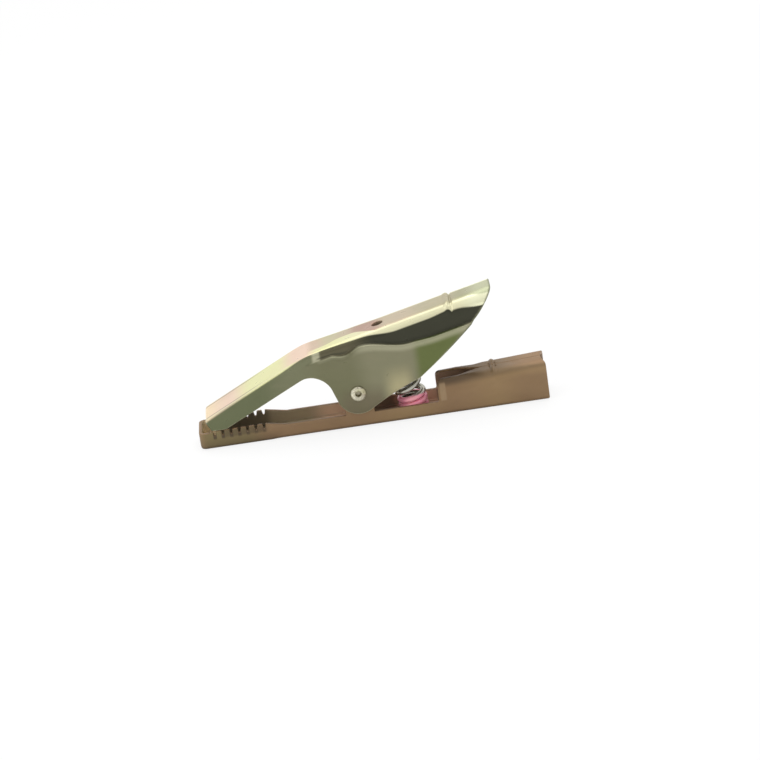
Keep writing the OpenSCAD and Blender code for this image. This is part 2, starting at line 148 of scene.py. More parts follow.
class ClampSpringSizes(bpy.types.PropertyGroup):
    wire_d: length("Wire", 2.0 * MM, "Diameter of the spring wire")
    turns: FloatProperty(name="Turns", default=9, min=4, description="Number of turns")
    closed_turns: FloatProperty(
        name="Closed turns", default=2.1, min=0.1, description="Turns at each end that lie on each other"
    )
    opening_turns: FloatProperty(
        name="Opening turns", default=0.5, min=0.1, description="Turns over which the closed ends open"
    )
    closed_gap: length("Closed gap", 0.05 * MM, "Gap between the closed turns")
    side_gap: length("Side gap", 0.6 * MM, "Gap between the spring and the walls, each side")
    foot: length("Foot", 17.0 * MM, "From the pivot back to the foot of the spring")
    head: length("Head", 9.0 * MM, "From the pivot back to the middle of the spring's top")
    seat_gap: length("Seat gap", 0.06 * MM, "Gap between the spring's ends and the sheet")
    locator_height: length("Locator height", 1.2 * MM, "Height of the boss and the collar inside the spring")
    locator_gap: length("Locator gap", 0.3 * MM, "Gap between the spring and the boss or the collar")


class ClampRivetSizes(bpy.types.PropertyGroup):
    shank_d: length("Shank", 3.4 * MM, "Diameter of the rivet's shank")
    head_d: length("Head", 2 * RIVET_HIGH.z - 2 * PIVOT.z, "Diameter of the rivet's heads")
    head_h: length("Head height", 0.9 * MM, "Height of the rivet's heads")
    hollow_d: length("Hollow", 1.8 * MM, "Diameter of the hollow in the set end")
    lobes: IntProperty(name="Lobes", default=6, min=3, description="Lobes in the lip of the set end")


class ClampFinishes(bpy.types.PropertyGroup):
    bronze: tint("Bronze", (0.57, 0.465, 0.32), "Film on the lower lever")
    # Paler than the outside: painted light that lifts the shade in the channel
    pale_bronze: tint("Pale bronze", (0.88, 0.76, 0.65), "Film in the lower lever's channel")
    cream: tint("Cream", (0.885, 0.885, 0.66), "Palest film on the upper lever")
    olive: tint("Olive", (0.45, 0.455, 0.345), "Film on the sides of the upper jaw")
    # Painted shade and dark reflection under the handle's shoulders
    dark_olive: tint("Dark olive", (0.20, 0.20, 0.14), "Film under the handle's shoulders")
    green: tint("Green", (0.375, 0.41, 0.22), "Film on the handle's side plates")
    pink: tint("Pink", (0.91, 0.80, 0.71), "Pink part of the upper lever's film")
    pink_dye: tint("Pink dye", (0.97, 0.60, 0.69), "Dye on the foot of the spring")
    zinc: tint("Zinc", (0.72, 0.71, 0.67), "Bright zinc of the spring and the rivet")


class ClampStudio(bpy.types.PropertyGroup):
    camera_elevation: angle("Camera elevation", 21, "Height of the camera, as an angle")
    camera_roll: angle("Camera roll", 8.45, "Turn of the camera about the way it looks")
    camera_distance: length("Camera distance", 1.0, "From the clamp to the camera")
    view_width: length("View width", 240.1 * MM, "Width that the picture shows at the clamp")
    view_right: length("View right", 6.83 * MM, "From the pivot to the middle of the picture, to the right")
    view_up: length("View up", 4.29 * MM, "From the pivot to the middle of the picture, upwards")


# ---- helpers ----


def mix(a, b, t):
    return a + (b - a) * t


def ease(x, a, b):
    """0 below a, 1 above b, smooth between."""
    t = min(1.0, max(0.0, (x - a) / (b - a)))
    return t * t * (3 - 2 * t)


def bump(x, middle, half_width):
    """A smooth bump of height 1 at the middle of its width."""
    return max(0.0, 1 - ((x - middle) / half_width) ** 2) ** 2


def round_in(d, r):
    """How far a rounded end draws in, a distance d behind its face."""
    return 0.0 if d >= r else r - math.sqrt(max(0.0, r * r - (r - d) ** 2))


def spread(a, b, n):
    """Even steps from a to b, without b."""
    return [a + (b - a) * k / n for k in range(n)]


def steps_through(start, *runs):
    """Places from start to the end of the last run, without that end. A run is its end and its steps."""
    places = []
    for end, steps in runs:
        places += spread(start, end, steps)
        start = end
    return places


def last_place(holds, low, high):
    """The last place between low and high where a test still holds, by halving."""
    for _ in range(34):
        middle = (low + high) / 2
        if holds(middle):
            low = middle
        else:
            high = middle
    return low


def arc(start, end, n):
    """Angles in radians from start to end degrees, both included."""
    return [math.radians(mix(start, end, k / n)) for k in range(n + 1)]


def height_at(line, x):
    """Height of a line of (x, z) points that runs towards +X."""
    if x <= line[0][0]:
        return line[0][1]
    for (x0, z0), (x1, z1) in zip(line, line[1:]):
        if x <= x1:
            return mix(z0, z1, (x - x0) / max(LEAST_LENGTH, x1 - x0))
    return line[-1][1]


def pulled_back(line, x, r, side):
    """Height at x of the line once a radius r is taken off the sheet below it (side -1) or above it (1)."""
    offsets = [r * math.cos(a) for a in arc(0, 180, 16)]
    return max((side * height_at(line, x + d) + math.sqrt(max(0, r * r - d * d)) for d in offsets)) * side


def bowed(p, q, swell, n):
    """Points after p and up to q on a shallow bow that swells to the right of the way."""
    dx, dz = q[0] - p[0], q[1] - p[1]
    size = math.hypot(dx, dz)
    points = []
    for k in range(1, n + 1):
        t = k / n
        push = swell * 4 * t * (1 - t) / size
        points.append((p[0] + dx * t + dz * push, p[1] + dz * t - dx * push))
    return points


def touch(p, c, r, side):
    """Where the line from p touches the circle round c on its side, 1 or -1."""
    dx, dz = p[0] - c[0], p[1] - c[1]
    a = math.atan2(dz, dx) + side * math.acos(r / math.hypot(dx, dz))
    return c[0] + r * math.cos(a), c[1] + r * math.sin(a)


# ---- pressed sheet ----


class PressedSheet:
    """A sheet with two skins. A half row runs from the middle of the sheet to its edge, in pairs of an outer
    and an inner point with Y above 0. Column 0 is the nose. Its rows are joined across to close it."""

    def __init__(self, columns, flat_rows, opens_up):
        self.outer = []
        self.inner = []
        self.faces = []
        grid = [self.add_column(half) for half in columns]
        for a, b in zip(grid, grid[1:]):
            for j in sorted(set(a) & set(b)):
                if j + 1 in a and j + 1 in b:
                    self.faces.append((a[j], b[j], b[j + 1], a[j + 1]))
        self.close_nose(grid[0], flat_rows)
        if opens_up:
            self.faces = [face[::-1] for face in self.faces]

    def add_point(self, outer, inner):
        self.outer.append(outer)
        self.inner.append(inner)
        return len(self.outer) - 1

    def add_column(self, half):
        column = {0: self.add_point(*half[0])}
        for j, (outer, inner) in enumerate(half[1:], 1):
            column[j] = self.add_point(outer, inner)
            column[-j] = self.add_point(outer * Vector((1, -1, 1)), inner * Vector((1, -1, 1)))
        return column

    def close_nose(self, front, flat_rows):
        last = max(front)
        skins = self.outer, self.inner
        rows = [[front[c] for c in range(-flat_rows, flat_rows + 1)]]
        for j in range(flat_rows + 1, last + 1):
            row = [front[-j]]
            for c in range(1, 2 * flat_rows):
                t = c / (2 * flat_rows)
                row.append(self.add_point(*(skin[front[-j]].lerp(skin[front[j]], t) for skin in skins)))
            rows.append(row + [front[j]])
        for low, high in zip(rows, rows[1:]):
            for c in range(2 * flat_rows):
                self.faces.append((low[c], low[c + 1], high[c + 1], high[c]))

    def edge_rings(self, cut_round):
        """For each point on the open edge of the outer skin, the points that round the cut edge over to the
        inner skin. Also the edges, in the order of their faces."""
        sides = dict.fromkeys(side for face in self.faces for side in zip(face, face[1:] + face[:1]))
        edges = [side for side in sides if side[::-1] not in sides]
        after = dict(edges)
        before = {b: a for a, b in edges}
        normals = {}
        for face in self.faces:
            p = [self.outer[i] for i in face]
            n = (p[2] - p[0]).cross(p[3] - p[1])
            for i in face:
                if i in after:
                    normals[i] = normals.get(i, Vector()) + n.normalized()
        rings = {}
        for i in after:
            along = (self.outer[after[i]] - self.outer[i]).normalized()
            along += (self.outer[i] - self.outer[before[i]]).normalized()
            outwards = along.cross(normals[i]).normalized()
            through = (self.inner[i] - self.outer[i]).normalized()
            turns = [(outwards * math.sin(a), through * (1 - math.cos(a))) for a in arc(0, 90, 3)[1:]]
            ring = [self.outer[i] + cut_round * (out + down) for out, down in turns]
            rings[i] = ring + [self.inner[i] + cut_round * (out - down) for out, down in turns[::-1]]
        return edges, rings

    def mesh(self, name, cut_round):
        """The closed sheet as a mesh, in the frame."""
        bm = bmesh.new()
        outer = [bm.verts.new(p + PIVOT) for p in self.outer]
        inner = [bm.verts.new(p + PIVOT) for p in self.inner]
        for face in self.faces:
            bm.faces.new([outer[i] for i in face])
            bm.faces.new([inner[i] for i in face[::-1]])
        edges, rings = self.edge_rings(cut_round)
        rims = {}
        for i, ring in rings.items():
            rims[i] = [outer[i], *(bm.verts.new(p + PIVOT) for p in ring), inner[i]]
        for a, b in edges:
            for k in range(len(rims[a]) - 1):
                bm.faces.new((rims[b][k], rims[a][k], rims[a][k + 1], rims[b][k + 1]))
        data = bpy.data.meshes.new(name)
        bm.to_mesh(data)
        bm.free()
        return data


# ---- lower lever ----


class LowerForm:
    """Where the sheet of the lower lever lies, from its named sizes."""

    def __init__(self, s):
        self.s = s
        self.rest = -PIVOT.z
        self.tooth_z = self.rest + s.tooth_height
        self.wall_z = self.rest + s.wall_height
        self.nose_z = self.rest + s.nose_height
        self.notch_offset = 5 * MM
        self.first_notch = s.lower_front - self.notch_offset
        self.last_notch = self.first_notch - (s.notch_count - 1) * s.tooth_pitch
        self.jaw_end = self.last_notch - s.tooth_pitch / 2
        self.nose_rise = 0.4 * MM
        self.jaw_land = 0.6 * MM
        self.wall_ramp = 6 * MM
        self.ear_front = -s.ear_radius_lower - 1.3 * MM
        self.ear_rear = s.ear_radius_lower + 0.65 * MM
        self.floor_ramp = 4 * MM
        self.nose_foot = 0.6 * MM
        self.slot_end = s.barrel_start + s.slot_length
        self.swell_x = s.barrel_start + 1.5 * MM
        self.swell_half = 1.0 * MM
        self.turn_share = 0.35
        self.bead_x = self.slot_end + 2.3 * MM
        self.bead_half = 1.0 * MM
        self.stake_pitch = 1.0 * MM
        self.stake_half = 0.42 * MM
        self.stake_depth = 0.45 * MM
        self.stake_offset = 1.3 * MM
        self.stake_reach = 1.1 * MM
        self.front_corner = 1.5 * MM
        self.front_fillet = 0.6 * MM
        self.fillet_reach = 2 * MM
        self.tail_corner = 1.2 * MM
        self.tail_foot = 0.8 * MM
        self.edge_line = self.upper_edge()

    def upper_edge(self):
        """Upper edge of the walls in front of the barrel, as (x, z) points."""
        s = self.s
        r = s.ear_radius_lower
        line = [(-s.lower_front, self.nose_z), (-self.first_notch - s.notch_width, self.nose_z)]
        line.append((-self.first_notch - s.notch_width / 2 - self.nose_rise, self.tooth_z))
        for n in range(s.notch_count):
            middle = -self.first_notch + n * s.tooth_pitch
            for k in range(-8, 9):
                line.append((middle + k / 8 * s.notch_width / 2, self.tooth_z - self.notch(k / 8)))
        line.append((-self.jaw_end - self.jaw_land, self.tooth_z))
        line.append((-self.jaw_end + self.wall_ramp, self.wall_z))
        line.append((self.ear_front, self.wall_z))
        line += [(r * -math.cos(a), r * math.sin(a)) for a in arc(0, 180, 24)]
        line.append((self.ear_rear, self.wall_z))
        line.append((s.barrel_start + self.front_corner, self.wall_z))
        return line

    def notch(self, t):
        """Depth of a notch, t of its half width from its middle. Its bottom is rounded."""
        return self.s.notch_depth * (1 - abs(t) ** 3)

    def floor_z(self, x):
        s = self.s
        tail = min(1, (s.lower_rear - x) / (s.lower_rear + self.jaw_end))
        return self.rest + s.floor_step * ease(x, -self.jaw_end, -self.jaw_end + self.floor_ramp) * tail

    def barrel_z(self, x):
        s = self.s
        t = max(0, (x - s.barrel_start) / (s.lower_rear - s.barrel_start))
        swell = s.bead_height * bump(x, self.bead_x, self.bead_half)
        return self.rest + mix(s.throat_height, s.barrel_height, t) + swell

    def closed(self, x):
        """0 where the barrel's slot is open, 1 where its edges meet."""
        s = self.s
        return ease(x, s.barrel_start + s.slot_length / 3, self.slot_end)

    def stake(self, x, y):
        """Depth of the three short dents that a punch leaves beside the seam."""
        along = sum(bump(x, self.bead_x + k * self.stake_pitch, self.stake_half) for k in (-1, 0, 1))
        return self.stake_depth * along * bump(abs(y), self.stake_offset, self.stake_reach)

    def curl_line(self, x, inset):
        """The curled part of a wall, from its foot to the sheet's edge, as (y, z) points."""
        s = self.s
        top = self.barrel_z(x)
        shut = self.closed(x)
        swell = s.mouth_swell * bump(x, self.swell_x, self.swell_half)
        neck = mix(s.slot_width, s.seam_gap, shut) / 2
        foot = Vector((s.half - inset, mix(self.wall_z, top - s.barrel_round, shut)))
        turn = Vector((s.half + swell, mix((self.wall_z + top) / 2, top, shut)))
        end = Vector((mix(s.slot_width / 2 + s.sheet, s.half - s.barrel_round, shut), top))
        way = (end - turn).normalized()
        in_turn = turn - inset * Vector((1, mix(self.turn_share, 1, shut)))
        in_end = end - inset * Vector((way.y, -way.x))
        shares = [*spread(0, 1, 12), 1]
        bow = [(1 - t) ** 2 * foot + 2 * t * (1 - t) * in_turn + t * t * in_end for t in shares]
        return bow + [Vector((neck, in_end.y))]

    def curl_length(self, x):
        """Length of the curled part's outer skin."""
        line = self.curl_line(x, 0)
        return sum((b - a).length for a, b in zip(line, line[1:]))

    def point(self, x, inset, part, t):
        """A point of the sheet with Y above 0: t runs from 0 to 1 over each part of the half row."""
        s = self.s
        if inset and x < -s.lower_front + s.nose_corner:
            x = mix(x, -s.lower_front + s.nose_corner, inset / s.nose_corner)
        d = x + s.lower_front - inset
        draw = round_in(d, max(LEAST_RADIUS, s.nose_corner - inset))
        lift = round_in(d, max(LEAST_RADIUS, self.nose_foot - inset))
        w = s.half - inset - draw
        z = self.floor_z(x) + inset + lift
        r = s.floor_bend - inset
        if part == "floor":
            return Vector((x, t * (w - r), z))
        if part == "bend":
            a = math.radians(90) * t
            return Vector((x, w - r + r * math.sin(a), z + r - r * math.cos(a)))
        if part == "wall":
            return Vector((x, w, z + r)).lerp(Vector((x, w, self.wall_top(x, z + r))), t)
        line = self.curl_line(x, inset)
        if part == "stand":
            return Vector((x, w, z + r)).lerp(Vector((x, line[0].x, line[0].y)), t)
        lengths = [(b - a).length for a, b in zip(line, line[1:])]
        left = t * sum(lengths)
        for a, b, size in zip(line, line[1:], lengths):
            if left <= size + 1e-9:
                p = a.lerp(b, left / size)
                return Vector((x, p.x, p.y))
            left -= size
        return Vector((x, line[-1].x, line[-1].y))

    def wall_top(self, x, lowest):
        """Height of the wall once the cut edge's radius is taken off."""
        s = self.s
        e = s.cut_round
        fillet_x = s.barrel_start - self.front_fillet
        if x > fillet_x:
            r = self.front_fillet + e
            return self.wall_z + self.front_fillet - math.sqrt(max(0, r * r - (x - fillet_x) ** 2))
        return max(pulled_back(self.edge_line, x, e, -1), lowest)

    def stations(self):
        """Places along X of the columns in front of the barrel."""
        s = self.s
        x0 = -s.lower_front
        r = s.nose_corner
        ear = s.ear_radius_lower
        fillet_x = s.barrel_start - self.front_fillet
        margin = 0.1 * MM
        edge = s.notch_width / 2 + s.cut_round + margin
        runs = [(-self.first_notch - s.tooth_pitch, 4)]
        for n in range(s.notch_count):
            middle = -self.first_notch + n * s.tooth_pitch
            runs += [(middle - edge, 3), (middle + edge, 16), (middle + s.tooth_pitch / 2, 3)]
        runs += [(-self.last_notch + s.tooth_pitch, 4), (-ear - 1.4 * MM, 24), (-ear, 10)]
        places = [x0 + r * (1 - math.cos(a)) for a in arc(0, 90, 9)[:-1]]
        places += steps_through(x0 + r, *runs)
        places += [-ear * math.cos(a) for a in arc(0, 180, 24)]
        places += steps_through(ear + 0.08 * MM, (ear + 0.8 * MM, 7), (fillet_x, 24))
        reach = self.front_fillet + s.cut_round
        return places + [fillet_x + reach * math.sin(a) for a in arc(0, 90, 5)[:-1]]

    def columns(self):
        """Half rows of the sheet, each a list of (outer, inner) points."""
        s = self.s
        low = [("floor", k / 4) for k in range(4)] + [("bend", k / 6) for k in range(6)]
        columns = []
        for x in self.stations():
            half = low + [("wall", k / 6) for k in range(7)]
            columns.append([(self.point(x, 0, *at), self.point(x, s.sheet, *at)) for at in half])
        half = low + [("stand", k / 6) for k in range(6)]
        for x in self.barrel_stations():
            size = self.curl_length(x)
            by_front = 1 - ease(x, s.barrel_start, s.barrel_start + self.fillet_reach)
            lift = self.front_fillet / size * by_front
            curl = [("curl", mix(lift, 1 - s.cut_round / size, k / 26)) for k in range(27)]
            columns.append([self.barrel_point(x, *at) for at in half + curl])
        return columns

    def barrel_stations(self):
        s = self.s
        start = s.barrel_start + s.cut_round
        staked = 2.4 * MM
        end = s.lower_rear - s.cut_round
        runs = [(start + 4 * MM, 20), (self.bead_x - staked, 26), (self.bead_x + staked, 44)]
        return steps_through(start, *runs, (s.lower_rear - 3 * MM, 10), (end, 8)) + [end]

    def barrel_point(self, x, part, t):
        """An outer and an inner point of the barrel, drawn in at the round corners of its front and end."""
        s = self.s
        z = self.point(x, 0, part, t).z
        front = round_in(self.barrel_z(x) - z, self.front_corner)
        rear = round_in(self.barrel_z(x) - z, self.tail_corner) + round_in(z - self.rest, self.tail_foot)
        reach = 4 * MM
        near_front = max(0, 1 - (x - s.barrel_start) / reach) ** 2
        near_rear = max(0, 1 - (s.lower_rear - x) / reach) ** 2
        at = x + front * near_front - rear * near_rear
        pair = self.point(at, 0, part, t), self.point(at, s.sheet, part, t)
        if part == "curl":
            for p in pair:
                p.z -= self.stake(at, p.y)
        return pair


def rounded_plug(name, radius, low, high, lip, side):
    """A round plug along Z for pressing or piercing the sheet. Its end at high flares out (side 1) or is
    rounded in (side -1) by the radius lip."""
    rows = [(0, low), (radius, low)]
    for a in arc(0, 90, 6):
        rows.append((radius + side * lip * (1 - math.cos(a)), high - lip + lip * math.sin(a)))
    if side > 0:
        high += lip
        rows.append((radius + lip, high))
    return turned_solid(name, rows + [(0, high)], segments=64)


def turned_solid(name, rows, segments, ripple=None):
    """A closed solid of revolution about Z from (radius, height) rows, the first and last on the axis."""
    bm = bmesh.new()
    rings = []
    for radius, height in rows:
        if radius < 1e-9:
            rings.append([bm.verts.new((0, 0, height))])
            continue
        ring = []
        for k in range(segments):
            a = 2 * math.pi * k / segments
            r, h = (radius, height) if ripple is None else ripple(radius, height, a)
            ring.append(bm.verts.new((r * math.cos(a), r * math.sin(a), h)))
        rings.append(ring)
    for low, high in zip(rings, rings[1:]):
        for k in range(segments):
            n = (k + 1) % segments
            corners = [low[k % len(low)], low[n % len(low)], high[n % len(high)], high[k % len(high)]]
            bm.faces.new(list(dict.fromkeys(corners)))
    data = bpy.data.meshes.new(name)
    bm.to_mesh(data)
    bm.free()
    return data


def placed(name, data):
    """A new object in the scene."""
    made = bpy.data.objects.new(name, data)
    bpy.context.scene.collection.objects.link(made)
    return made


def applied_mesh(piece):
    """The mesh that the piece's modifiers make of it. The modifiers are taken off."""
    bpy.context.view_layer.update()
    graph = bpy.context.evaluated_depsgraph_get()
    made = bpy.data.meshes.new_from_object(piece.evaluated_get(graph))
    piece.modifiers.clear()
    if not made.polygons:
        raise RuntimeError(f"{piece.name} came out empty")
    return made


def combine(piece, tool_mesh, place, operation):
    """Adds the tool to the piece or takes it away, with the tool moved to its place first."""
    tool_mesh.transform(place)
    tool = placed("tool", tool_mesh)
    modifier = piece.modifiers.new("combine", "BOOLEAN")
    modifier.operation = operation
    modifier.object = tool
    modifier.solver = "EXACT"
    old = piece.data
    piece.data = applied_mesh(piece)
    bpy.data.meshes.remove(old)
    bpy.data.objects.remove(tool)
    bpy.data.meshes.remove(tool_mesh)


def pierce_ears(piece, radius, reach):
    """The holes for the rivet in both ears."""
    place = Matrix.Translation(PIVOT) @ Matrix.Rotation(math.radians(90), 4, "X")
    end_round = 0.1 * MM
    combine(piece, rounded_plug("ear hole", radius, -reach, reach, end_round, -1), place, "DIFFERENCE")


def paint(data, name, value_at):
    """Stores a value for each vertex, worked out from its place counted from the pivot."""
    attribute = data.attributes.new(name, "FLOAT", "POINT")
    attribute.data.foreach_set("value", [value_at(v.co - PIVOT) for v in data.vertices])


def new_piece(name, data, material):
    data.name = name
    piece = placed(name, data)
    data.materials.clear()
    data.materials.append(material)
    return piece


def smooth(data, angle=35):
    data.polygons.foreach_set("use_smooth", [True] * len(data.polygons))
    data.set_sharp_from_angle(angle=math.radians(angle))


def seat_piece(piece, body, node):
    """Hands the finished piece to the frame."""
    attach(piece, body)
    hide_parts(node)


# ---- upper lever ----


class UpperForm:
    """Where the sheet of the upper lever lies, from its named sizes."""

    def __init__(self, s):
        self.s = s
        self.jaw_foot = -PIVOT.z + s.tooth_height + s.jaw_gap
        self.nose_top = self.jaw_foot + s.nose_depth
        self.slope = math.tan(s.handle_angle)
        self.jaw_slope = (self.handle_line(-s.bend_reach) - self.nose_top) / (s.upper_front - s.bend_reach)
        self.arch_half = s.half - 0.1 * MM
        self.jaw_flat = 6.5 * MM
        self.bend_round = 0.3 * MM
        self.flare_height = 0.8 * MM
        self.front_crease = 3.2 * MM
        self.crease_wave = 1.2 * MM
        self.wave_x = -2.5 * MM
        self.wave_half = 4.5 * MM
        self.tail_drop = 0.7 * MM
        self.late_shoulder = 0.7 * MM
        self.ear_swell = -0.5 * MM
        self.plate_swell = 0.5 * MM
        self.tail_swell = 0.35 * MM
        self.knee_back = 5.35 * MM
        self.knee_down = 8.3 * MM
        self.nose_lean = 0.45
        self.lean_reach = 12 * MM
        self.relief = (-s.bend_reach + 1.05 * MM, 0.1 * MM)
        self.crimp_x = s.upper_rear - 13.8 * MM
        self.crimp_half = 1.3 * MM
        self.groove_offset = 0.6 * MM
        self.crimp_height = 0.35 * MM
        self.groove_depth = 0.4 * MM
        self.dent_depth = 0.35 * MM
        self.crimp_round = 1.0 * MM
        self.plate_foot = -PIVOT.z + 2 * MM
        self.lower_line = self.lower_edge()
        self.tail_start = s.upper_rear - 10 * MM
        self.tip = self.find_tip()
        self.tail_shares = self.row_shares(self.tail_start)

    def handle_line(self, x):
        return self.s.crown_height + self.slope * x

    def plain_z(self, x):
        """Height of the back without the crimp."""
        a = self.handle_line(x)
        b = self.nose_top + self.jaw_slope * (x + self.s.upper_front)
        return (a + b) / 2 - math.hypot((a - b) / 2, self.bend_round)

    def back_z(self, x):
        offset = self.groove_offset
        ridge = self.crimp_height * bump(x, self.crimp_x - offset, self.crimp_half)
        groove = self.groove_depth * bump(x, self.crimp_x + offset, offset)
        return self.plain_z(x) + ridge - groove

    def sheet_drop(self, x):
        slope = self.jaw_slope if x < -self.s.bend_reach else self.slope
        return self.s.sheet * math.hypot(1, slope)

    def edge_r(self, x):
        """Radius of the long edge between the back and the side."""
        s = self.s
        late = self.late_shoulder
        half = self.crimp_half
        jaw_to_handle = (s.shoulder - late - s.jaw_edge) * ease(x, -s.bend_reach - 4 * MM, 0)
        past_crimp = self.crimp_round * ease(x, self.crimp_x - half, self.crimp_x + half)
        return s.jaw_edge + jaw_to_handle + late * ease(x, 0, 12 * MM) + past_crimp

    def back_half(self, x):
        """Half the width over the sides above the crease."""
        return mix(self.s.half, self.arch_half, ease(x, -self.s.bend_reach, 0))

    def side_half(self, x):
        """Half the width over the side plates below the crease."""
        s = self.s
        return mix(s.half, s.plate_half, ease(x, -s.bend_reach - 1 * MM, -s.ear_radius - 1 * MM))

    def crease(self, x):
        """Depth of the step out to the side plates, below the back."""
        wave = self.crease_wave * bump(x, self.wave_x, self.wave_half)
        drop = self.tail_drop * ease(x, 18 * MM, 27 * MM)
        return mix(self.front_crease, self.s.arch_depth, ease(x, 2 * MM, 19 * MM)) + wave + drop

    def lean(self, x):
        """How far the rows lean forward, per depth, towards the nose."""
        front = -self.s.upper_front
        return self.nose_lean * (1 - ease(x, front, front + self.lean_reach))

    def lower_edge(self):
        """Lower edge of the sides, as (x, z) points towards +X."""
        s = self.s
        foot = (-s.upper_front + self.jaw_flat, self.jaw_foot)
        rx, rz = self.relief
        start = touch(foot, self.relief, s.relief_radius, -1)
        across = math.atan2(-rz, -rx) + math.acos((s.relief_radius + s.ear_radius) / math.hypot(rx, rz))
        first = math.atan2(start[1] - rz, start[0] - rx)
        corner = (s.corner_reach, s.corner_rise)
        ear_end = touch(corner, (0, 0), s.ear_radius, -1)
        last = math.atan2(ear_end[1], ear_end[0])
        relief = rx, rz, s.relief_radius, first, across
        ear = 0, 0, s.ear_radius, across - math.pi, last
        line = [(-s.upper_front - 2 * MM, self.jaw_foot), foot]
        for cx, cz, r, a0, a1 in (relief, ear):
            bends = [mix(a0, a1, k / 24) for k in range(25)]
            line += [(cx + r * math.cos(a), cz + r * math.sin(a)) for a in bends]
        tip = (s.upper_rear, self.back_z(s.upper_rear))
        knee = (tip[0] - self.knee_back, tip[1] - self.knee_down)
        line += bowed(ear_end, corner, self.ear_swell, 10)
        line += bowed(corner, knee, self.plate_swell, 14)
        return line + bowed(knee, tip, self.tail_swell, 10)

    def edge_z(self, x):
        return pulled_back(self.lower_line, x, self.s.cut_round, 1)

    def find_tip(self):
        """Where the cut edge meets the back."""
        return last_place(lambda x: self.edge_z(x) < self.back_z(x), self.tail_start, self.s.upper_rear)

    def point(self, x, inset, u):
        """A point of the sheet with Y above 0. u counts the parts of the half row: 0 to 1 the back, to 2 the
        rounded edge, to 3 the side, to 4 the step out to the plate, and on down the plate."""
        s = self.s
        nose = s.upper_nose_round
        front = -s.upper_front
        at = x
        if inset and x < front + nose:
            at = mix(x, front + nose, inset / nose)
        draw = round_in(at - front - inset, max(LEAST_RADIUS, nose - inset))
        back = self.back_z(at)
        top = back - (self.sheet_drop(at) if inset else 0) - draw
        w = self.back_half(at) - inset - draw
        wp = self.side_half(at) - inset - draw
        r = max(self.edge_r(at) - inset, 0.15 * MM)
        tuck = inset * math.tan(math.atan2(wp - w, self.flare_height) / 2)
        crease_z = self.plain_z(at) - self.crease(at) - tuck
        if u <= 1:
            y, z = u * (w - r), top
        elif u <= 2:
            a = math.radians(90) * (u - 1)
            dent = self.dent_depth * bump(x, self.crimp_x - 0.1 * MM, 0.6 * MM) * self.dents(u)
            y, z = w - r + (r - dent) * math.sin(a), top - r + (r - dent) * math.cos(a)
        elif u <= 3:
            y, z = w, mix(top - r, crease_z + self.flare_height, u - 2)
        elif u <= 4:
            y, z = mix(w, wp, (1 - math.cos(math.pi * (u - 3))) / 2), crease_z + self.flare_height * (4 - u)
        else:
            y, z = wp, mix(crease_z, self.plate_foot, u - 4)
        return Vector((at + self.lean(at) * (back - z), y, z))

    def dents(self, u):
        """Two punched dents, one below the other, in the shoulder beside the crimp."""
        return bump(u, 1.42, 0.18) + bump(u, 1.8, 0.16)

    def edge_u(self, x):
        """Where the half row at x meets the cut edge."""

        def above(u):
            p = self.point(x, 0, u)
            return p.z > self.edge_z(p.x)

        return last_place(above, 1.0, 5.0)

    def rows(self, x):
        """Values of u for the rows at x, down to the cut edge."""
        end = self.edge_u(x)
        side = [(4, 8), (end, 10)] if end > 4 else [(end, 18)]
        return steps_through(0, (1, 3), (2, 14), (3, 5), *side) + [end]

    def arc_lengths(self, x, values):
        points = [self.point(x, 0, u) for u in values]
        total = [0.0]
        for a, b in zip(points, points[1:]):
            total.append(total[-1] + (b - a).length)
        return total

    def row_shares(self, x):
        lengths = self.arc_lengths(x, self.rows(x))
        return [size / lengths[-1] for size in lengths]

    def tail_rows(self, x):
        """Rows behind the tail start keep their share of the shrinking half row."""
        end = self.edge_u(x) if x < self.tip else 1.0
        values = [end * k / 160 for k in range(161)]
        lengths = self.arc_lengths(x, values)
        return [height_at(list(zip(lengths, values)), share * lengths[-1]) for share in self.tail_shares]

    def stations(self):
        s = self.s
        x0 = -s.upper_front
        r = s.upper_nose_round
        jaw = [(x0 + self.jaw_flat, 10), (-s.bend_reach - 8 * MM, 26)]
        handle = [(-9 * MM, 34), (-6 * MM, 18), (19 * MM, 50)]
        tail = [(self.crimp_x - 2 * MM, 20), (self.crimp_x + 1.6 * MM, 34), (self.tail_start, 5)]
        places = [x0 + r * (1 - math.cos(a)) for a in arc(0, 90, 7)[:-1]]
        return places + steps_through(x0 + r, *jaw, *handle, *tail)

    def columns(self):
        sheet = self.s.sheet
        tail = [self.tip - (self.tip - self.tail_start) * (1 - t) ** 2 for t in spread(0, 1, 32)] + [self.tip]
        columns = [(x, self.rows(x)) for x in self.stations()] + [(x, self.tail_rows(x)) for x in tail]
        return [[(self.point(x, 0, u), self.point(x, sheet, u)) for u in rows] for x, rows in columns]

    def column_at(self, p):
        """The column x and the depth under the back of a place, with the edge radius and half width there."""
        x = p.x - self.lean(p.x) * (self.back_z(p.x) - p.z)
        return x, self.back_z(x) - p.z, self.edge_r(x), self.back_half(x)

    def zone(self, p):
        """u for any place on or in the sheet, as in point()."""
        x, depth, r, w = self.column_at(p)
        a = abs(p.y)
        if depth < r and a < w - r:
            return a / (w - r)
        if depth < r:
            return 1 + math.atan2(a - w + r, r - depth) / math.radians(90)
        depth = self.plain_z(x) - p.z
        fold = self.crease(x) - self.flare_height
        if depth < fold:
            return 2 + (depth - r) / max(1e-6, fold - r)
        return 3 + (depth - fold) / self.flare_height

    def inside(self, p):
        """0 on the outer skin, 1 on the inner."""
        x, depth, r, w = self.column_at(p)
        a = abs(p.y)
        if depth < r and a < w - r:
            gone = depth
        elif depth < r:
            gone = r - math.hypot(a - w + r, r - depth)
        else:
            gone = (w if depth < self.crease(x) else self.side_half(x)) - a
        return min(1, max(0, gone / self.s.sheet))


# ---- node trees ----


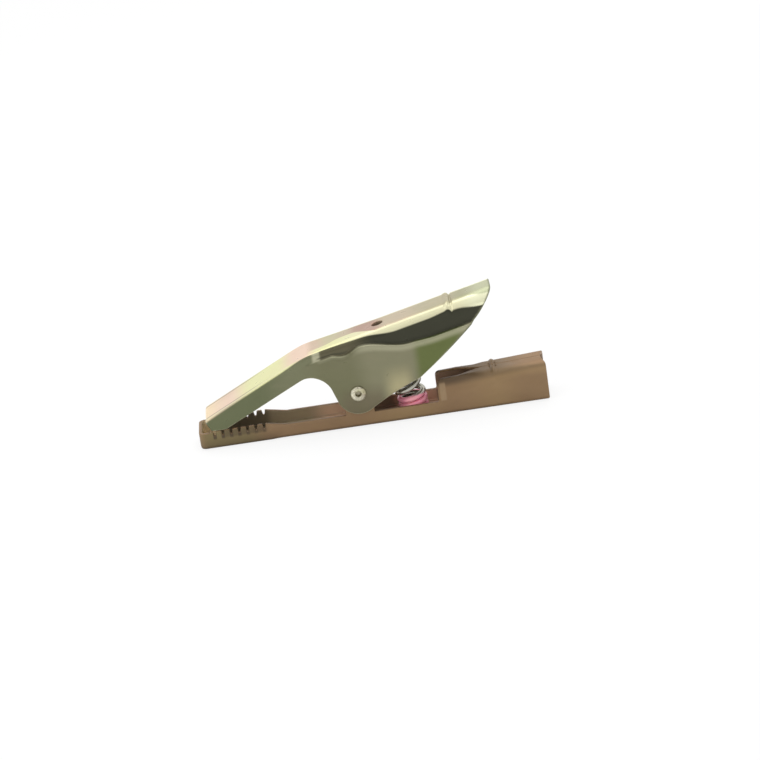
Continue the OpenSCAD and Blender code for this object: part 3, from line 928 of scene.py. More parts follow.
class Value:
    """The output of a node, which can be added, multiplied and so on as in a formula."""

    def __init__(self, n, socket):
        self.n = n
        self.socket = socket

    def __add__(self, other):
        return self.n.reckon("ADD", self, other)

    def __sub__(self, other):
        return self.n.reckon("SUBTRACT", self, other)

    def __rsub__(self, other):
        return self.n.reckon("SUBTRACT", other, self)

    def __mul__(self, other):
        return self.n.reckon("MULTIPLY", self, other)

    def __truediv__(self, other):
        return self.n.reckon("DIVIDE", self, other)

    __radd__ = __add__


class NodeTree:
    """Short ways to add nodes to a tree and to join them."""

    def __init__(self, tree):
        self.tree = tree

    def add(self, kind, inputs=(), **settings):
        node = self.tree.nodes.new(kind)
        for key, value in settings.items():
            setattr(node, key, value)
        for key, value in dict(inputs).items():
            self.put(node.inputs[key], value)
        return node

    def get(self, kind, inputs=(), output=0, **settings):
        """Adds a node and gives one of its outputs."""
        return Value(self, self.add(kind, inputs, **settings).outputs[output])

    def put(self, socket, value):
        """Joins an output to the socket, or sets the socket's own value. A colour may leave out its alpha."""
        if isinstance(value, Value):
            self.tree.links.new(value.socket, socket)
        elif socket.type == "RGBA" and len(value) == 3:
            socket.default_value = (*value, 1)
        else:
            socket.default_value = value

    def reckon(self, operation, a, b):
        vectors = any(isinstance(v, Value) and v.socket.type == "VECTOR" for v in (a, b))
        return self.vector(operation, a, b) if vectors else self.math(operation, a, b)

    def math(self, operation, a, b=0.0):
        return self.get("ShaderNodeMath", {0: a, 1: b}, operation=operation)

    def vector(self, operation, a, b=(0, 0, 0)):
        return self.get("ShaderNodeVectorMath", {0: a, 1: b}, operation=operation)

    def parts(self, vector):
        """X, Y and Z of a vector."""
        return [Value(self, socket) for socket in self.add("ShaderNodeSeparateXYZ", {0: vector}).outputs]

    def scaled(self, a, factor):
        return self.get("ShaderNodeVectorMath", {0: a, "Scale": factor}, operation="SCALE")

    def step(self, value, low, high):
        """0 below low, 1 above high, smooth between."""
        inputs = {"Value": value, "From Min": low, "From Max": high}
        return self.get("ShaderNodeMapRange", inputs, interpolation_type="SMOOTHSTEP")

    def between(self, value, low, middle, high, reach):
        """0 below low and above high, 1 from middle until reach short of high."""
        return self.step(value, low, middle) * self.step(value, high, high - reach)

    def blend(self, factor, a, b, how="MIX"):
        inputs = {0: factor, 6: a, 7: b}
        return self.get("ShaderNodeMix", inputs, 2, data_type="RGBA", blend_type=how)

    def ramp(self, factor, stops):
        """A colour ramp with smooth steps through (place, colour) stops."""
        node = self.add("ShaderNodeValToRGB", {"Fac": factor})
        node.color_ramp.interpolation = "EASE"
        elements = node.color_ramp.elements
        while len(elements) < len(stops):
            elements.new(0.5)
        for element, (place, colour) in zip(elements, stops):
            element.position = place
            element.color = (*colour, 1)
        return Value(self, node.outputs[0])

    def noise(self, coordinates, scale, detail=2.0, distortion=0.0):
        inputs = {"Vector": coordinates, "Scale": scale, "Detail": detail, "Distortion": distortion}
        return self.get("ShaderNodeTexNoise", inputs, "Fac")


def node_group(name, kind, inputs, outputs):
    """A node group with its input and output sockets, and a helper to fill it."""
    group = bpy.data.node_groups.new(name, kind)
    for direction, sockets in (("INPUT", inputs), ("OUTPUT", outputs)):
        for socket_name, socket_kind, *default in sockets:
            socket = group.interface.new_socket(socket_name, in_out=direction, socket_type=socket_kind)
            if default:
                socket.default_value = default[0]
    n = NodeTree(group)
    given = {socket.name: Value(n, socket) for socket in n.add("NodeGroupInput").outputs}
    return group, n, given, n.add("NodeGroupOutput").inputs


def film_group():
    """The cloudy interference tints of a passivated film."""
    inputs = [
        ("Coordinates", "NodeSocketVector"),
        ("Base", "NodeSocketColor"),
        ("Warm", "NodeSocketColor"),
        ("Cool", "NodeSocketColor"),
        ("Cloud Scale", "NodeSocketFloat", 60.0),
        ("Strength", "NodeSocketFloat", 0.3),
    ]
    outputs = [("Color", "NodeSocketColor")]
    group, n, given, out = node_group("Passivated Film", "ShaderNodeTree", inputs, outputs)
    stretched = n.vector("MULTIPLY", given["Coordinates"], (0.45, 1.0, 1.0))
    cloud = n.noise(stretched, given["Cloud Scale"], 3.0, 0.6)
    fine = n.noise(stretched, given["Cloud Scale"] * 4.3, 4.0, 0.3)
    colour = n.blend(n.step(cloud, 0.50, 0.72) * given["Strength"], given["Base"], given["Warm"])
    colour = n.blend(n.step(cloud, 0.50, 0.28) * given["Strength"], colour, given["Cool"])
    dull = n.step(fine, 0.45, 0.75) * (given["Strength"] * 0.5)
    n.put(out["Color"], n.blend(dull, colour, (0.35, 0.33, 0.3), "MULTIPLY"))
    return group


def sheet_skin_group():
    """The rolled grain, tumbling marks and fine scratches of steel sheet, as a height and a roughness."""
    inputs = [
        ("Coordinates", "NodeSocketVector"),
        ("Roughness", "NodeSocketFloat", 0.35),
        ("Grain", "NodeSocketFloat", 1.0),
    ]
    outputs = [("Height", "NodeSocketFloat"), ("Roughness", "NodeSocketFloat")]
    group, n, given, out = node_group("Sheet Skin", "ShaderNodeTree", inputs, outputs)
    place = given["Coordinates"]
    grain = n.noise(n.vector("MULTIPLY", place, (0.06, 1.0, 1.0)), 2600.0, 3.0)
    marks = n.noise(n.vector("MULTIPLY", place, (0.5, 1.0, 1.0)), 420.0, 4.0, 0.8)
    scratch = n.noise(n.vector("MULTIPLY", place, (0.18, 1.0, 0.6)), 900.0, 2.0, 1.4)
    thin = 1.0 - n.step(n.math("ABSOLUTE", scratch - 0.5), 0.0, 0.012)
    n.put(out["Height"], (grain * 0.5 + marks) * given["Grain"] - thin * 0.04)
    rough = (marks - 0.5) * 0.35 + given["Roughness"] + thin * 0.03
    n.put(out["Roughness"], n.math("MAXIMUM", rough, 0.12))
    return group


def wear_group():
    """Where a cut edge takes its own colour, partly worn film and partly painted shade: 1 at the edge, broken
    up further in.
    """
    inputs = [
        ("Coordinates", "NodeSocketVector"),
        ("Edge Distance", "NodeSocketFloat", 1.0),
        ("Width", "NodeSocketFloat", 0.0004),
    ]
    group, n, given, out = node_group("Edge Wear And Shade", "ShaderNodeTree", inputs, [("Wear", "NodeSocketFloat")])
    broken = n.noise(given["Coordinates"], 900.0, 3.0) * given["Width"]
    n.put(out["Wear"], 1.0 - n.step(given["Edge Distance"], 0.0, broken + given["Width"] * 0.3))
    return group


GROUP_MAKERS = {"Passivated Film": film_group, "Sheet Skin": sheet_skin_group, "Edge Wear And Shade": wear_group}


class Finish:
    """One material with its Principled shader, and the shared effects placed in it. Its x, y and z are
    counted from the pivot. Its colour is built up coat by coat."""

    def __init__(self, name, metallic=0.85, roughness=0.35, grain=1.0):
        self.material = bpy.data.materials.new(name)
        self.material.use_nodes = True
        n = self.n = NodeTree(self.material.node_tree)
        self.shader = self.material.node_tree.nodes["Principled BSDF"]
        self.shader.inputs["Metallic"].default_value = metallic
        self.place = n.get("ShaderNodeTexCoord", output="Object")
        self.x, self.y, self.z = (part - offset for part, offset in zip(n.parts(self.place), PIVOT))
        skin = self.group("Sheet Skin", {"Roughness": roughness, "Grain": grain})
        bump_inputs = {"Strength": 0.12, "Distance": 0.00004, "Height": Value(n, skin["Height"])}
        n.put(self.shader.inputs["Normal"], n.get("ShaderNodeBump", bump_inputs))
        n.put(self.shader.inputs["Roughness"], Value(n, skin["Roughness"]))

    def group(self, name, inputs):
        """Places a shared node group, which is made on its first use."""
        tree = bpy.data.node_groups.get(name) or GROUP_MAKERS[name]()
        node = self.n.add("ShaderNodeGroup", node_tree=tree)
        for key, value in (inputs | {"Coordinates": self.place}).items():
            self.n.put(node.inputs[key], value)
        return node.outputs

    def attribute(self, name):
        return self.n.get("ShaderNodeAttribute", output="Fac", attribute_name=name)

    def along(self, start, end):
        """0 at start and 1 at end, evenly between, both in mm along the clamp from the pivot."""
        return (self.x - start * MM) / ((end - start) * MM)

    def past(self, start, end):
        """0 up to start and 1 from end on, smooth between, both in mm along the clamp from the pivot."""
        return self.n.step(self.x, start * MM, end * MM)

    def within(self, low, middle, high, reach):
        """As between() of the node tree, in mm along the clamp from the pivot."""
        return self.n.between(self.x, low * MM, middle * MM, high * MM, reach * MM)

    def inner_skin(self):
        return self.n.step(self.attribute("inside"), 0.3, 0.7)

    def coat(self, share, colour):
        self.colour = self.n.blend(share, self.colour, colour)

    def film(self, warm, cool, scale, strength):
        inputs = {"Base": self.colour, "Warm": warm, "Cool": cool, "Cloud Scale": scale, "Strength": strength}
        self.colour = Value(self.n, self.group("Passivated Film", inputs)["Color"])

    # Colours the cut edges: partly worn film, partly painted shade along them
    def wear(self, width, colour):
        inputs = {"Edge Distance": self.attribute("edge"), "Width": width}
        self.coat(Value(self.n, self.group("Edge Wear And Shade", inputs)["Wear"]), colour)

    def finish(self):
        self.n.put(self.shader.inputs["Base Color"], self.colour)
        return self.material


def shades(*screen_colours):
    return [linear(colour) for colour in screen_colours]


def upper_finish(c):
    """Yellow passivated zinc: a cream and pink back, pale shoulders that are a painted highlight, a dark
    olive band below them that is painted shade and dark reflection, and olive to green sides."""
    f = Finish("upper lever film", metallic=0.5, roughness=0.34)
    n = f.n
    pink, cream, olive, dark, green = c.pink, c.cream, c.olive, c.dark_olive, c.green
    peach, blush, khaki, beige, rose, tan, sage, mint, pale = shades(
        (0.95, 0.86, 0.71), (0.80, 0.705, 0.61), (0.76, 0.73, 0.59), (0.75, 0.69, 0.585), (0.69, 0.57, 0.50),
        (0.69, 0.66, 0.535), (0.62, 0.62, 0.485), (0.71, 0.73, 0.59), (0.885, 0.87, 0.72),
    )
    green_grey, moss, stone, shade, steel, umber, straw_highlight, tail = shades(
        (0.39, 0.41, 0.29), (0.44, 0.435, 0.325), (0.50, 0.49, 0.385), (0.36, 0.34, 0.25), (0.68, 0.67, 0.56),
        (0.42, 0.385, 0.30), (0.72, 0.68, 0.52), (0.94, 0.94, 0.80),
    )
    along = f.along(-52, 48)
    back = n.ramp(along, [
        (0.02, peach), (0.11, pink), (0.19, cream), (0.275, cream), (0.335, pink), (0.37, pink),
        (0.40, blush), (0.455, khaki), (0.505, beige), (0.545, rose), (0.595, rose), (0.635, beige),
        (0.69, beige), (0.77, tan), (0.83, tan), (0.885, sage), (0.945, mint),
    ])
    # The shoulder: a painted highlight where the bend catches the light, over the film's tints
    shoulder = n.ramp(along, [
        (0.0, peach), (0.10, beige), (0.22, cream), (0.31, cream), (0.36, pink), (0.42, cream), (0.60, pale),
        (0.86, pale), (0.93, tail),
    ])
    band = n.ramp(along, [
        (0.0, green_grey), (0.20, green_grey), (0.32, olive), (0.387, olive), (0.397, steel), (0.412, steel),
        (0.420, shade), (0.50, shade), (0.60, dark), (0.93, dark), (0.99, shade),
    ])
    plate = n.ramp(along, [
        (0.0, green_grey), (0.20, green_grey), (0.32, olive), (0.42, moss), (0.50, moss), (0.58, stone),
        (0.70, stone), (0.735, green), (0.84, green), (0.90, stone),
    ])
    u = f.attribute("zone")

    # The shoulder's colour, a painted highlight over the film's tints, reaches further up the back on the
    # near side
    near_start = 0.56 - f.past(-9, -2) * 0.46 + f.past(0, 8.5) * 1.18 + f.past(38, 44) * 0.2
    near_side = n.step(f.y, 1 * MM, -1 * MM)
    start = near_start * near_side + (1.0 - near_side)
    start = n.math("MAXIMUM", start, f.past(-12, -15))
    f.colour = n.blend(n.step(u - start, -0.06, 0.08), back, shoulder)

    # A painted shadow line and a painted highlight along the jaw's edges, then the plates with a pale painted
    # highlight and umber patches
    on_jaw = f.past(-14, -24)
    f.coat(n.between(u, 0.74, 0.84, 0.97, 0.06) * f.past(-26, -36) * 0.5, umber)
    f.coat(n.between(u, 0.94, 1.04, 1.4, 0.15) * on_jaw * 0.75, pale)
    f.coat(n.step(u, 2.2, 3.0), plate)
    # A painted highlight low on the plates' edge, beside the spring
    low_edge = n.step(f.z, 9 * MM, 0.0) * f.within(7, 13, 19, 4)
    f.coat(low_edge * 0.7, straw_highlight)
    low_ear = n.step(f.z, 4 * MM, -3 * MM) * f.within(-8, -3, 10, 4)
    f.coat(low_ear * 0.8, umber)
    # A painted highlight on the plate just below the crease
    f.coat(n.between(u, 3.5, 3.9, 7.0, 2.4) * f.past(-1, 4) * 0.65, steel)
    f.film(pink, green, 70.0, 0.1)

    # The band, painted shade and dark reflection, with a small painted highlight in steel near its front:
    # from part way round the bend down to the crease
    border = 1.35 + f.past(-10, 4) * 0.15 + f.past(3, 15) * 0.37
    border = border - f.past(25, 32) * 0.1 + f.past(34, 44) * 0.33
    f.coat(n.step(u - border, -0.05, on_jaw * 0.6 + 0.07) * n.step(u, 3.8, 3.2), band)
    # A painted shadow line just above the crease and a painted highlight line just below it
    by_crease = f.within(-12, -10.5, 0, 4)
    f.coat(n.between(u, 2.3, 2.8, 3.25, 0.25) * by_crease * 0.55, dark)
    f.coat(n.between(u, 3.35, 3.7, 5.0, 0.9) * by_crease * 0.2, steel)

    # The inner skin half way to moss: painted shade
    f.coat(f.inner_skin(), n.blend(0.5, f.colour, moss))
    tail_end = f.past(22, 34)
    # Cut edges steel at the front and olive towards the tail: partly worn film, partly painted shade
    f.wear(tail_end * (0.6 * MM) + 0.35 * MM, n.blend(tail_end, steel, olive))
    return f.finish()


def lower_finish(c, form):
    """Bronze film, greyer towards the upper edges, with painted shade, darker and browner below, and painted
    light that makes the channel paler.
    """
    f = Finish("lower lever film", metallic=0.25, roughness=0.48)
    n = f.n
    olive_brown, brown, warm, shadow, mouth, lip, nose, deep, end_shade, end_highlight = shades(
        (0.47, 0.42, 0.27), (0.54, 0.43, 0.305), (0.61, 0.50, 0.355), (0.21, 0.165, 0.11), (0.33, 0.26, 0.18),
        (0.61, 0.51, 0.385), (0.95, 0.87, 0.72), (0.69, 0.625, 0.51), (0.505, 0.40, 0.28), (0.64, 0.49, 0.34),
    )
    f.colour = n.ramp(f.along(-54, 62), [
        (0.0, brown), (0.05, olive_brown), (0.13, olive_brown), (0.22, brown), (0.42, brown),
        (0.60, c.bronze), (0.72, brown), (0.86, c.bronze), (0.98, warm),
    ])
    height = f.z + PIVOT.z
    # Painted shade along the bottom, and further up the jaw's walls
    f.coat(n.step(height, 1.6 * MM, 0.4 * MM) * 0.45, shadow)
    f.coat(n.step(height, 4.2 * MM, 1.0 * MM) * f.past(-24, -29) * 0.3, shadow)

    # The barrel: depth counts from its top, which rises towards its end
    s = form.s
    front = s.barrel_start / MM
    rise = (s.barrel_height - s.throat_height) / (s.lower_rear - s.barrel_start)
    depth = (f.x - s.barrel_start) * rise + s.throat_height - height
    behind = f.past(front - 0.4, front + 0.4)
    # Painted shade on the barrel's walls just under their curled top
    f.coat(n.step(depth, 2.4 * MM, 0.8 * MM) * behind * 0.45, mouth)
    far_end = f.past(43, 54)
    # Painted shade low on the barrel's end, and a painted highlight along its top
    f.coat(far_end * n.step(height, 11.5 * MM, 8.5 * MM) * 0.9, end_shade)
    f.coat(far_end * n.step(height, 11.8 * MM, 12.8 * MM) * 0.5, end_highlight)
    # Deeper painted shade under the curled edges where the slot is open
    f.coat(n.step(depth, 3.0 * MM, 0.8 * MM) * f.past(44, 31) * behind * 0.75, mouth)
    # A painted highlight on the swelling just behind the barrel's front edge
    raised = n.step(height, 4.6 * MM, 5.4 * MM) * n.step(depth, 0.6 * MM, 1.6 * MM)
    f.coat(f.past(front + 0.5, front + 0.9) * f.past(front + 2.9, front + 2.2) * raised * 0.9, lip)

    # Painted shade on the tops of the teeth under the upper jaw, and painted shade below each notch that
    # makes it look deeper
    level = form.tooth_z - f.z
    f.coat(n.step(level, 3.0 * MM, 2.0 * MM) * f.past(-29.5, -31.5) * f.past(-46, -43) * 0.5, shadow)
    cycle = (f.x + form.first_notch) / s.tooth_pitch
    off = n.math("ABSOLUTE", n.math("FRACT", cycle + 20.5) - 0.5)
    first, last = -form.first_notch, -form.last_notch
    marks = n.step(off, 0.26, 0.14) * n.step(level, 3.1 * MM, 2.3 * MM)
    marks = marks * n.step(f.x, last + 1 * MM, last) * n.step(f.x, first - 1.2 * MM, first - 0.6 * MM)
    f.coat(marks * (f.past(-34, -38) * 0.4 + 0.45), shadow)
    f.film(warm, brown, 60.0, 0.16)

    # The inner skin: painted light, pale at the nose and along the arm, and painted shade, darker under the
    # jaw, by the ears and in the barrel
    inside = f.inner_skin()
    inner = n.blend(f.past(-18, -9), deep, c.pale_bronze)
    inner = n.blend(f.past(3, 5) * f.past(14, 10) * 0.75, inner, mouth)
    inner = n.blend(f.past(-47, -45) * f.past(-28, -31) * 0.5, inner, shadow)
    inner = n.blend(f.past(-45.5, -47.5), inner, nose)
    f.coat(inside, n.blend(behind * 0.6, inner, mouth))
    n.put(f.shader.inputs["Metallic"], 0.25 - inside * 0.2)
    # Brown cut edges: partly the film's own cut edge, partly painted shade
    f.wear(0.3 * MM, brown)
    return f.finish()


def rivet_finish(c):
    """Bright zinc, lighter towards the nose and darker towards the handles, with painted shade in the hollow.
    """
    f = Finish("rivet zinc", roughness=0.34, grain=1.6)
    n = f.n
    pale, dull, darker_tone, bright = shades(
        (0.82, 0.80, 0.71), (0.50, 0.46, 0.37), (0.57, 0.51, 0.42), (0.95, 0.93, 0.83),
    )
    specks = n.step(n.noise(f.place, 1900.0, 3.0, 0.5), 0.52, 0.66)
    f.colour = n.blend(specks * 0.6, pale, dull)
    # Painted shade in the hollow of the set end
    f.coat(f.attribute("hollow") * 0.6, dull)
    f.coat(f.past(0.2, 2.0) * 0.6, darker_tone)
    f.coat(f.past(-0.9, -1.9) * 0.7, bright)
    f.film(c.cream, c.zinc, 500.0, 0.3)
    return f.finish()


def spring_finish(c, foot):
    """Bright zinc, with a pink dye on the outside of the lowest turns, round the axis's foot."""
    f = Finish("spring zinc", roughness=0.2, grain=0.5)
    n = f.n
    wander = (n.noise(f.place, 300.0) - 0.5) * (0.6 * MM)
    low = n.step(f.z + PIVOT.z + wander, 7.6 * MM, 7.0 * MM)
    out = n.vector("MULTIPLY", f.place - (PIVOT + Vector((foot, 0, 0))), (1.0, 1.0, 0.0))
    radius = n.get("ShaderNodeVectorMath", {0: out}, "Value", operation="LENGTH")
    dyed = low * n.step(radius, 3.2 * MM, 3.9 * MM)
    n.put(f.shader.inputs["Metallic"], 0.9 - dyed * 0.8)
    f.colour = n.blend(dyed, c.zinc, c.pink_dye)
    f.film(c.cream, c.pink, 320.0, 0.15)
    return f.finish()


# ---- operators ----


class CLAMP_OT_lower_lever(bpy.types.Operator):
    """Build the lower lever: a toothed channel with ears for the rivet and a rolled cable barrel"""

    bl_idname = "clamp.lower_lever"
    bl_label = "Lower lever"

    def execute(self, context):
        s = context.scene.clamp_levers
        spring = context.scene.clamp_spring
        form = LowerForm(s)
        sheet = PressedSheet(form.columns(), 4, opens_up=True)
        finish = lower_finish(context.scene.clamp_finishes, form)
        piece = new_piece("lower_lever_steel", sheet.mesh("lower lever", s.cut_round), finish)
        self.press_boss(piece, form, spring)
        pierce_ears(piece, context.scene.clamp_rivet.shank_d / 2 + 0.02 * MM, 8 * MM)
        smooth(piece.data)
        paint(piece.data, "inside", lambda p: inside_channel(form, p))
        paint(piece.data, "edge", lambda p: lower_edge_distance(form, p))
        seat_piece(piece, "lower", "lower_lever")
        return {"FINISHED"}

    def press_boss(self, piece, form, spring):
        """A boss pressed up into the foot of the spring, hollow below."""
        s = form.s
        radius = locator_radius(s, spring)
        floor = form.floor_z(spring.foot)
        place = Matrix.Translation(PIVOT + Vector((spring.foot, 0, floor)))
        high = s.sheet + spring.locator_height
        outer_round, inner_round = 0.6 * MM, 0.4 * MM
        combine(piece, rounded_plug("boss", radius, s.sheet / 2, high, outer_round, -1), place, "UNION")
        hollow = rounded_plug("hollow", radius - s.sheet, -s.sheet, spring.locator_height, inner_round, -1)
        combine(piece, hollow, place, "DIFFERENCE")


def locator_radius(s, spring):
    return s.half - s.sheet - spring.side_gap - spring.wire_d - spring.locator_gap


def way_to(line, y, z):
    """Distance from a place to a line of (y, z) points."""
    place = Vector((y, z))
    best = 1.0
    for a, b in zip(line, line[1:]):
        along = b - a
        t = min(1, max(0, (place - a).dot(along) / max(LEAST_LENGTH, along.length_squared)))
        best = min(best, (a + along * t - place).length)
    return best


def inside_channel(form, p):
    """0 on the outer skin of the lower lever, 1 on the inner."""
    s = form.s
    d = p.x + s.lower_front
    through_wall = s.half - round_in(d, s.nose_corner) - abs(p.y)
    through_floor = p.z - form.floor_z(p.x) - round_in(d, form.nose_foot)
    gone = min(through_wall, through_floor, d)
    if p.x > s.barrel_start and p.z > form.wall_z:
        foot = Vector((s.half, form.wall_z))
        gone = way_to([foot] + form.curl_line(p.x, 0), abs(p.y), p.z)
    return min(1, max(0, gone / s.sheet))


def lower_edge_distance(form, p):
    """About how far a place on the lower lever lies from a cut edge, at most EDGE_REACH."""
    s = form.s
    if p.x < s.barrel_start - 0.3 * MM:
        return edge_distance(form.edge_line, p, -1)
    ways = [EDGE_REACH, s.lower_rear - p.x]
    if p.z > form.wall_z:
        ways.append(abs(p.x - s.barrel_start))
    if p.z > form.barrel_z(p.x) - s.sheet * 1.2:
        ways.append(abs(p.y) - mix(s.slot_width, s.seam_gap, form.closed(p.x)) / 2)
    return max(0, min(ways))


def edge_distance(line, p, side):
    """About how far a place lies from the cut edge, at most EDGE_REACH."""
    steps = [k * 0.25 * MM for k in range(-4, 5)]
    drops = [(d, max(0, side * (p.z - height_at(line, p.x + d)))) for d in steps]
    return min(EDGE_REACH, *(math.hypot(*drop) for drop in drops))


class CLAMP_OT_upper_lever(bpy.types.Operator):
    """Build the upper lever: a plain jaw and a handle with side plates that straddle the lower lever"""

    bl_idname = "clamp.upper_lever"
    bl_label = "Upper lever"

    def execute(self, context):
        s = context.scene.clamp_levers
        form = UpperForm(s)
        sheet = PressedSheet(form.columns(), 3, opens_up=False)
        finish = upper_finish(context.scene.clamp_finishes)
        piece = new_piece("upper_lever_steel", sheet.mesh("upper lever", s.cut_round), finish)
        self.draw_collar(piece, form, context.scene.clamp_spring)
        pierce_ears(piece, context.scene.clamp_rivet.shank_d / 2 + 0.05 * MM, 9 * MM)
        smooth(piece.data)
        paint(piece.data, "zone", form.zone)
        paint(piece.data, "inside", form.inside)
        paint(piece.data, "edge", lambda p: edge_distance(form.lower_line, p, 1))
        seat_piece(piece, "upper", "upper_lever")
        return {"FINISHED"}

    def draw_collar(self, piece, form, spring):
        """A collar drawn down round the hole in the back, inside the head of the spring."""
        s = form.s
        radius = locator_radius(s, spring)
        bore = WEB_HOLE["dims"]["r_mm"] * MM
        back = form.back_z(spring.head)
        turned = Matrix.Rotation(-s.handle_angle, 4, "Y")
        place = Matrix.Translation(PIVOT + Vector((spring.head, 0, back))) @ turned
        depth = s.sheet + spring.locator_height
        collar_round, bore_flare = 0.3 * MM, 0.35 * MM
        collar = rounded_plug("collar", radius, s.sheet / 2, depth, collar_round, -1)
        combine(piece, collar, place @ Matrix.Rotation(math.pi, 4, "X"), "UNION")
        combine(piece, rounded_plug("bore", bore, -4 * MM, 0, bore_flare, 1), place, "DIFFERENCE")


class CLAMP_OT_pivot_rivet(bpy.types.Operator):
    """Build the rivet: a hollow, rolled set end on the near side and a domed head on the far side"""

    bl_idname = "clamp.pivot_rivet"
    bl_label = "Pivot rivet"

    def execute(self, context):
        r = context.scene.clamp_rivet
        head_r, shank_r, hollow_r = r.head_d / 2, r.shank_d / 2, r.hollow_d / 2
        far = RIVET_HIGH.y - r.head_h
        near = -far
        lip = (head_r - hollow_r) / 2
        foot = near - r.head_h / 3
        chamfer = 0.06 * MM
        hollow_end = near + 1.3 * MM
        taper = 0.3 * MM
        rows = [(0, hollow_end), (hollow_r * 0.9, hollow_end - taper), (hollow_r, hollow_end - 2 * taper)]
        rows.append((hollow_r, foot))
        for a in arc(180, 0, 18)[1:]:
            rows.append((hollow_r + lip + lip * math.cos(a), foot - r.head_h * 2 / 3 * math.sin(a)))
        rows += [(head_r, near - chamfer), (head_r - chamfer, near), (shank_r, near)]
        rows += [(shank_r, far), (head_r - chamfer, far), (head_r, far + chamfer)]
        dome = [(head_r * math.cos(a), r.head_h * (1 + 3 * math.sin(a)) / 4) for a in arc(0, 90, 14)]
        rows += [(radius, far + height) for radius, height in dome[:-1]] + [(0, far + r.head_h)]

        def ripple(radius, height, a):
            """The setting tool splays the lip into shallow lobes."""
            on_lip = ease(-height, -foot - 0.1 * MM, -foot + r.head_h * 0.4)
            on_lip *= ease(radius, hollow_r * 0.8, head_r * 0.8)
            dip = on_lip * (1 - math.cos(r.lobes * a) - 0.35 * math.cos((r.lobes + 1) * a + 1))
            return radius * (1 - 0.012 * dip), height + 0.07 * MM * dip

        data = turned_solid("pivot rivet", rows, 96, ripple)
        data.transform(Matrix.Translation(PIVOT) @ Matrix.Rotation(math.radians(-90), 4, "X"))
        piece = new_piece("pivot_rivet_zinc", data, rivet_finish(context.scene.clamp_finishes))
        smooth(data, 40)
        paint(data, "hollow", lambda p: self.in_hollow(p, near, hollow_r))
        seat_piece(piece, "lower", "pivot_rivet")
        return {"FINISHED"}

    def in_hollow(self, p, near, hollow_r):
        radius = math.hypot(p.x, p.z)
        return ease(p.y, near - 0.6 * MM, near) * (1 - ease(radius, hollow_r * 1.02, hollow_r * 1.2))


def spring_tree():
    """Winds wire round an axis that leaves its foot and its head squarely. The end turns are closed."""
    inputs = [
        ("Foot", "NodeSocketVector"),
        ("Foot Handle", "NodeSocketVector"),
        ("Head Handle", "NodeSocketVector"),
        ("Head", "NodeSocketVector"),
        ("Turns", "NodeSocketFloat", 7.0),
        ("Closed Turns", "NodeSocketFloat", 1.1),
        ("Opening Turns", "NodeSocketFloat", 0.5),
        ("Closed Rise", "NodeSocketFloat", 0.07),
        ("Coil Radius", "NodeSocketFloat", 0.004),
        ("Wire Radius", "NodeSocketFloat", 0.0009),
        ("Rings", "NodeSocketInt", 300),
        ("Wire Sides", "NodeSocketInt", 20),
        ("Material", "NodeSocketMaterial"),
    ]
    outputs = [("Geometry", "NodeSocketGeometry")]
    group, n, given, out = node_group("Wound Spring", "GeometryNodeTree", inputs, outputs)
    turns, closed, opening, rise = (
        given[name] for name in ("Turns", "Closed Turns", "Opening Turns", "Closed Rise")
    )
    coil_r, wire_r = given["Coil Radius"], given["Wire Radius"]
    line = n.get("GeometryNodeCurvePrimitiveLine")
    points = n.get("GeometryNodeResampleCurve", {"Curve": line, "Count": given["Rings"]})
    share = n.get("GeometryNodeInputIndex") / (given["Rings"] - 1.0)
    over = wire_r / (coil_r * math.pi)
    turn = share * (over * 2.0 + turns) - over

    # Share of the axis climbed: the closed rise all along, and an extra rise between the closed ends
    inner_turn = n.math("MINIMUM", n.math("MAXIMUM", turn, 0.0), turns)

    def ramped(start):
        past = n.math("MAXIMUM", inner_turn - start, 0.0)
        part = n.math("MINIMUM", past, opening)
        return past - part + part * part / (opening * 2.0)

    late = turns - closed - opening
    extra = (1.0 - rise * turns) / (late - closed)
    t = rise * inner_turn + extra * (ramped(closed) - ramped(late))

    # Place and direction on the axis, a cubic curve
    s = 1.0 - t
    corners = [given[name] for name in ("Foot", "Foot Handle", "Head Handle", "Head")]
    legs = [b - a for a, b in zip(corners, corners[1:])]
    weighted = zip(corners[1:], (s * s * t * 3.0, t * t * s * 3.0, t * t * t))
    axis = sum((n.scaled(corner, weight) for corner, weight in weighted), n.scaled(corners[0], s * s * s))
    way = n.scaled(legs[0], s * s) + n.scaled(legs[1], s * t * 2.0) + n.scaled(legs[2], t * t)

    # The wire runs right-handed round the axis and starts at the near wall
    along_y = (0.0, 1.0, 0.0)
    across = n.vector("CROSS_PRODUCT", along_y, n.vector("NORMALIZE", way))
    angle = (turn - 0.25) * (2 * math.pi)
    side = n.scaled(across, n.math("COSINE", angle) * coil_r)
    up = n.scaled(along_y, n.math("SINE", angle) * coil_r)
    wound = n.get("GeometryNodeSetPosition", {"Geometry": points, "Position": axis + (side + up)})
    circle = {"Resolution": given["Wire Sides"], "Radius": wire_r}
    profile = n.get("GeometryNodeCurvePrimitiveCircle", circle)
    swept = {"Curve": wound, "Profile Curve": profile, "Fill Caps": True}
    shaded = n.get("GeometryNodeSetShadeSmooth", {"Geometry": n.get("GeometryNodeCurveToMesh", swept)})
    real = n.get("GeometryNodeRealizeInstances", {"Geometry": shaded})
    coated = n.get("GeometryNodeSetMaterial", {"Geometry": real, "Material": given["Material"]})
    n.put(out["Geometry"], coated)
    return group


def grown_mesh(name, tree, values):
    """The mesh that a Geometry Nodes tree makes with these input values."""
    holder = placed(name, bpy.data.meshes.new(name))
    modifier = holder.modifiers.new("grow", "NODES")
    modifier.node_group = tree
    for item in tree.interface.items_tree:
        if item.item_type == "SOCKET" and item.in_out == "INPUT" and item.name in values:
            modifier[item.identifier] = values[item.name]
    made = applied_mesh(holder)
    bpy.data.objects.remove(holder)
    return made


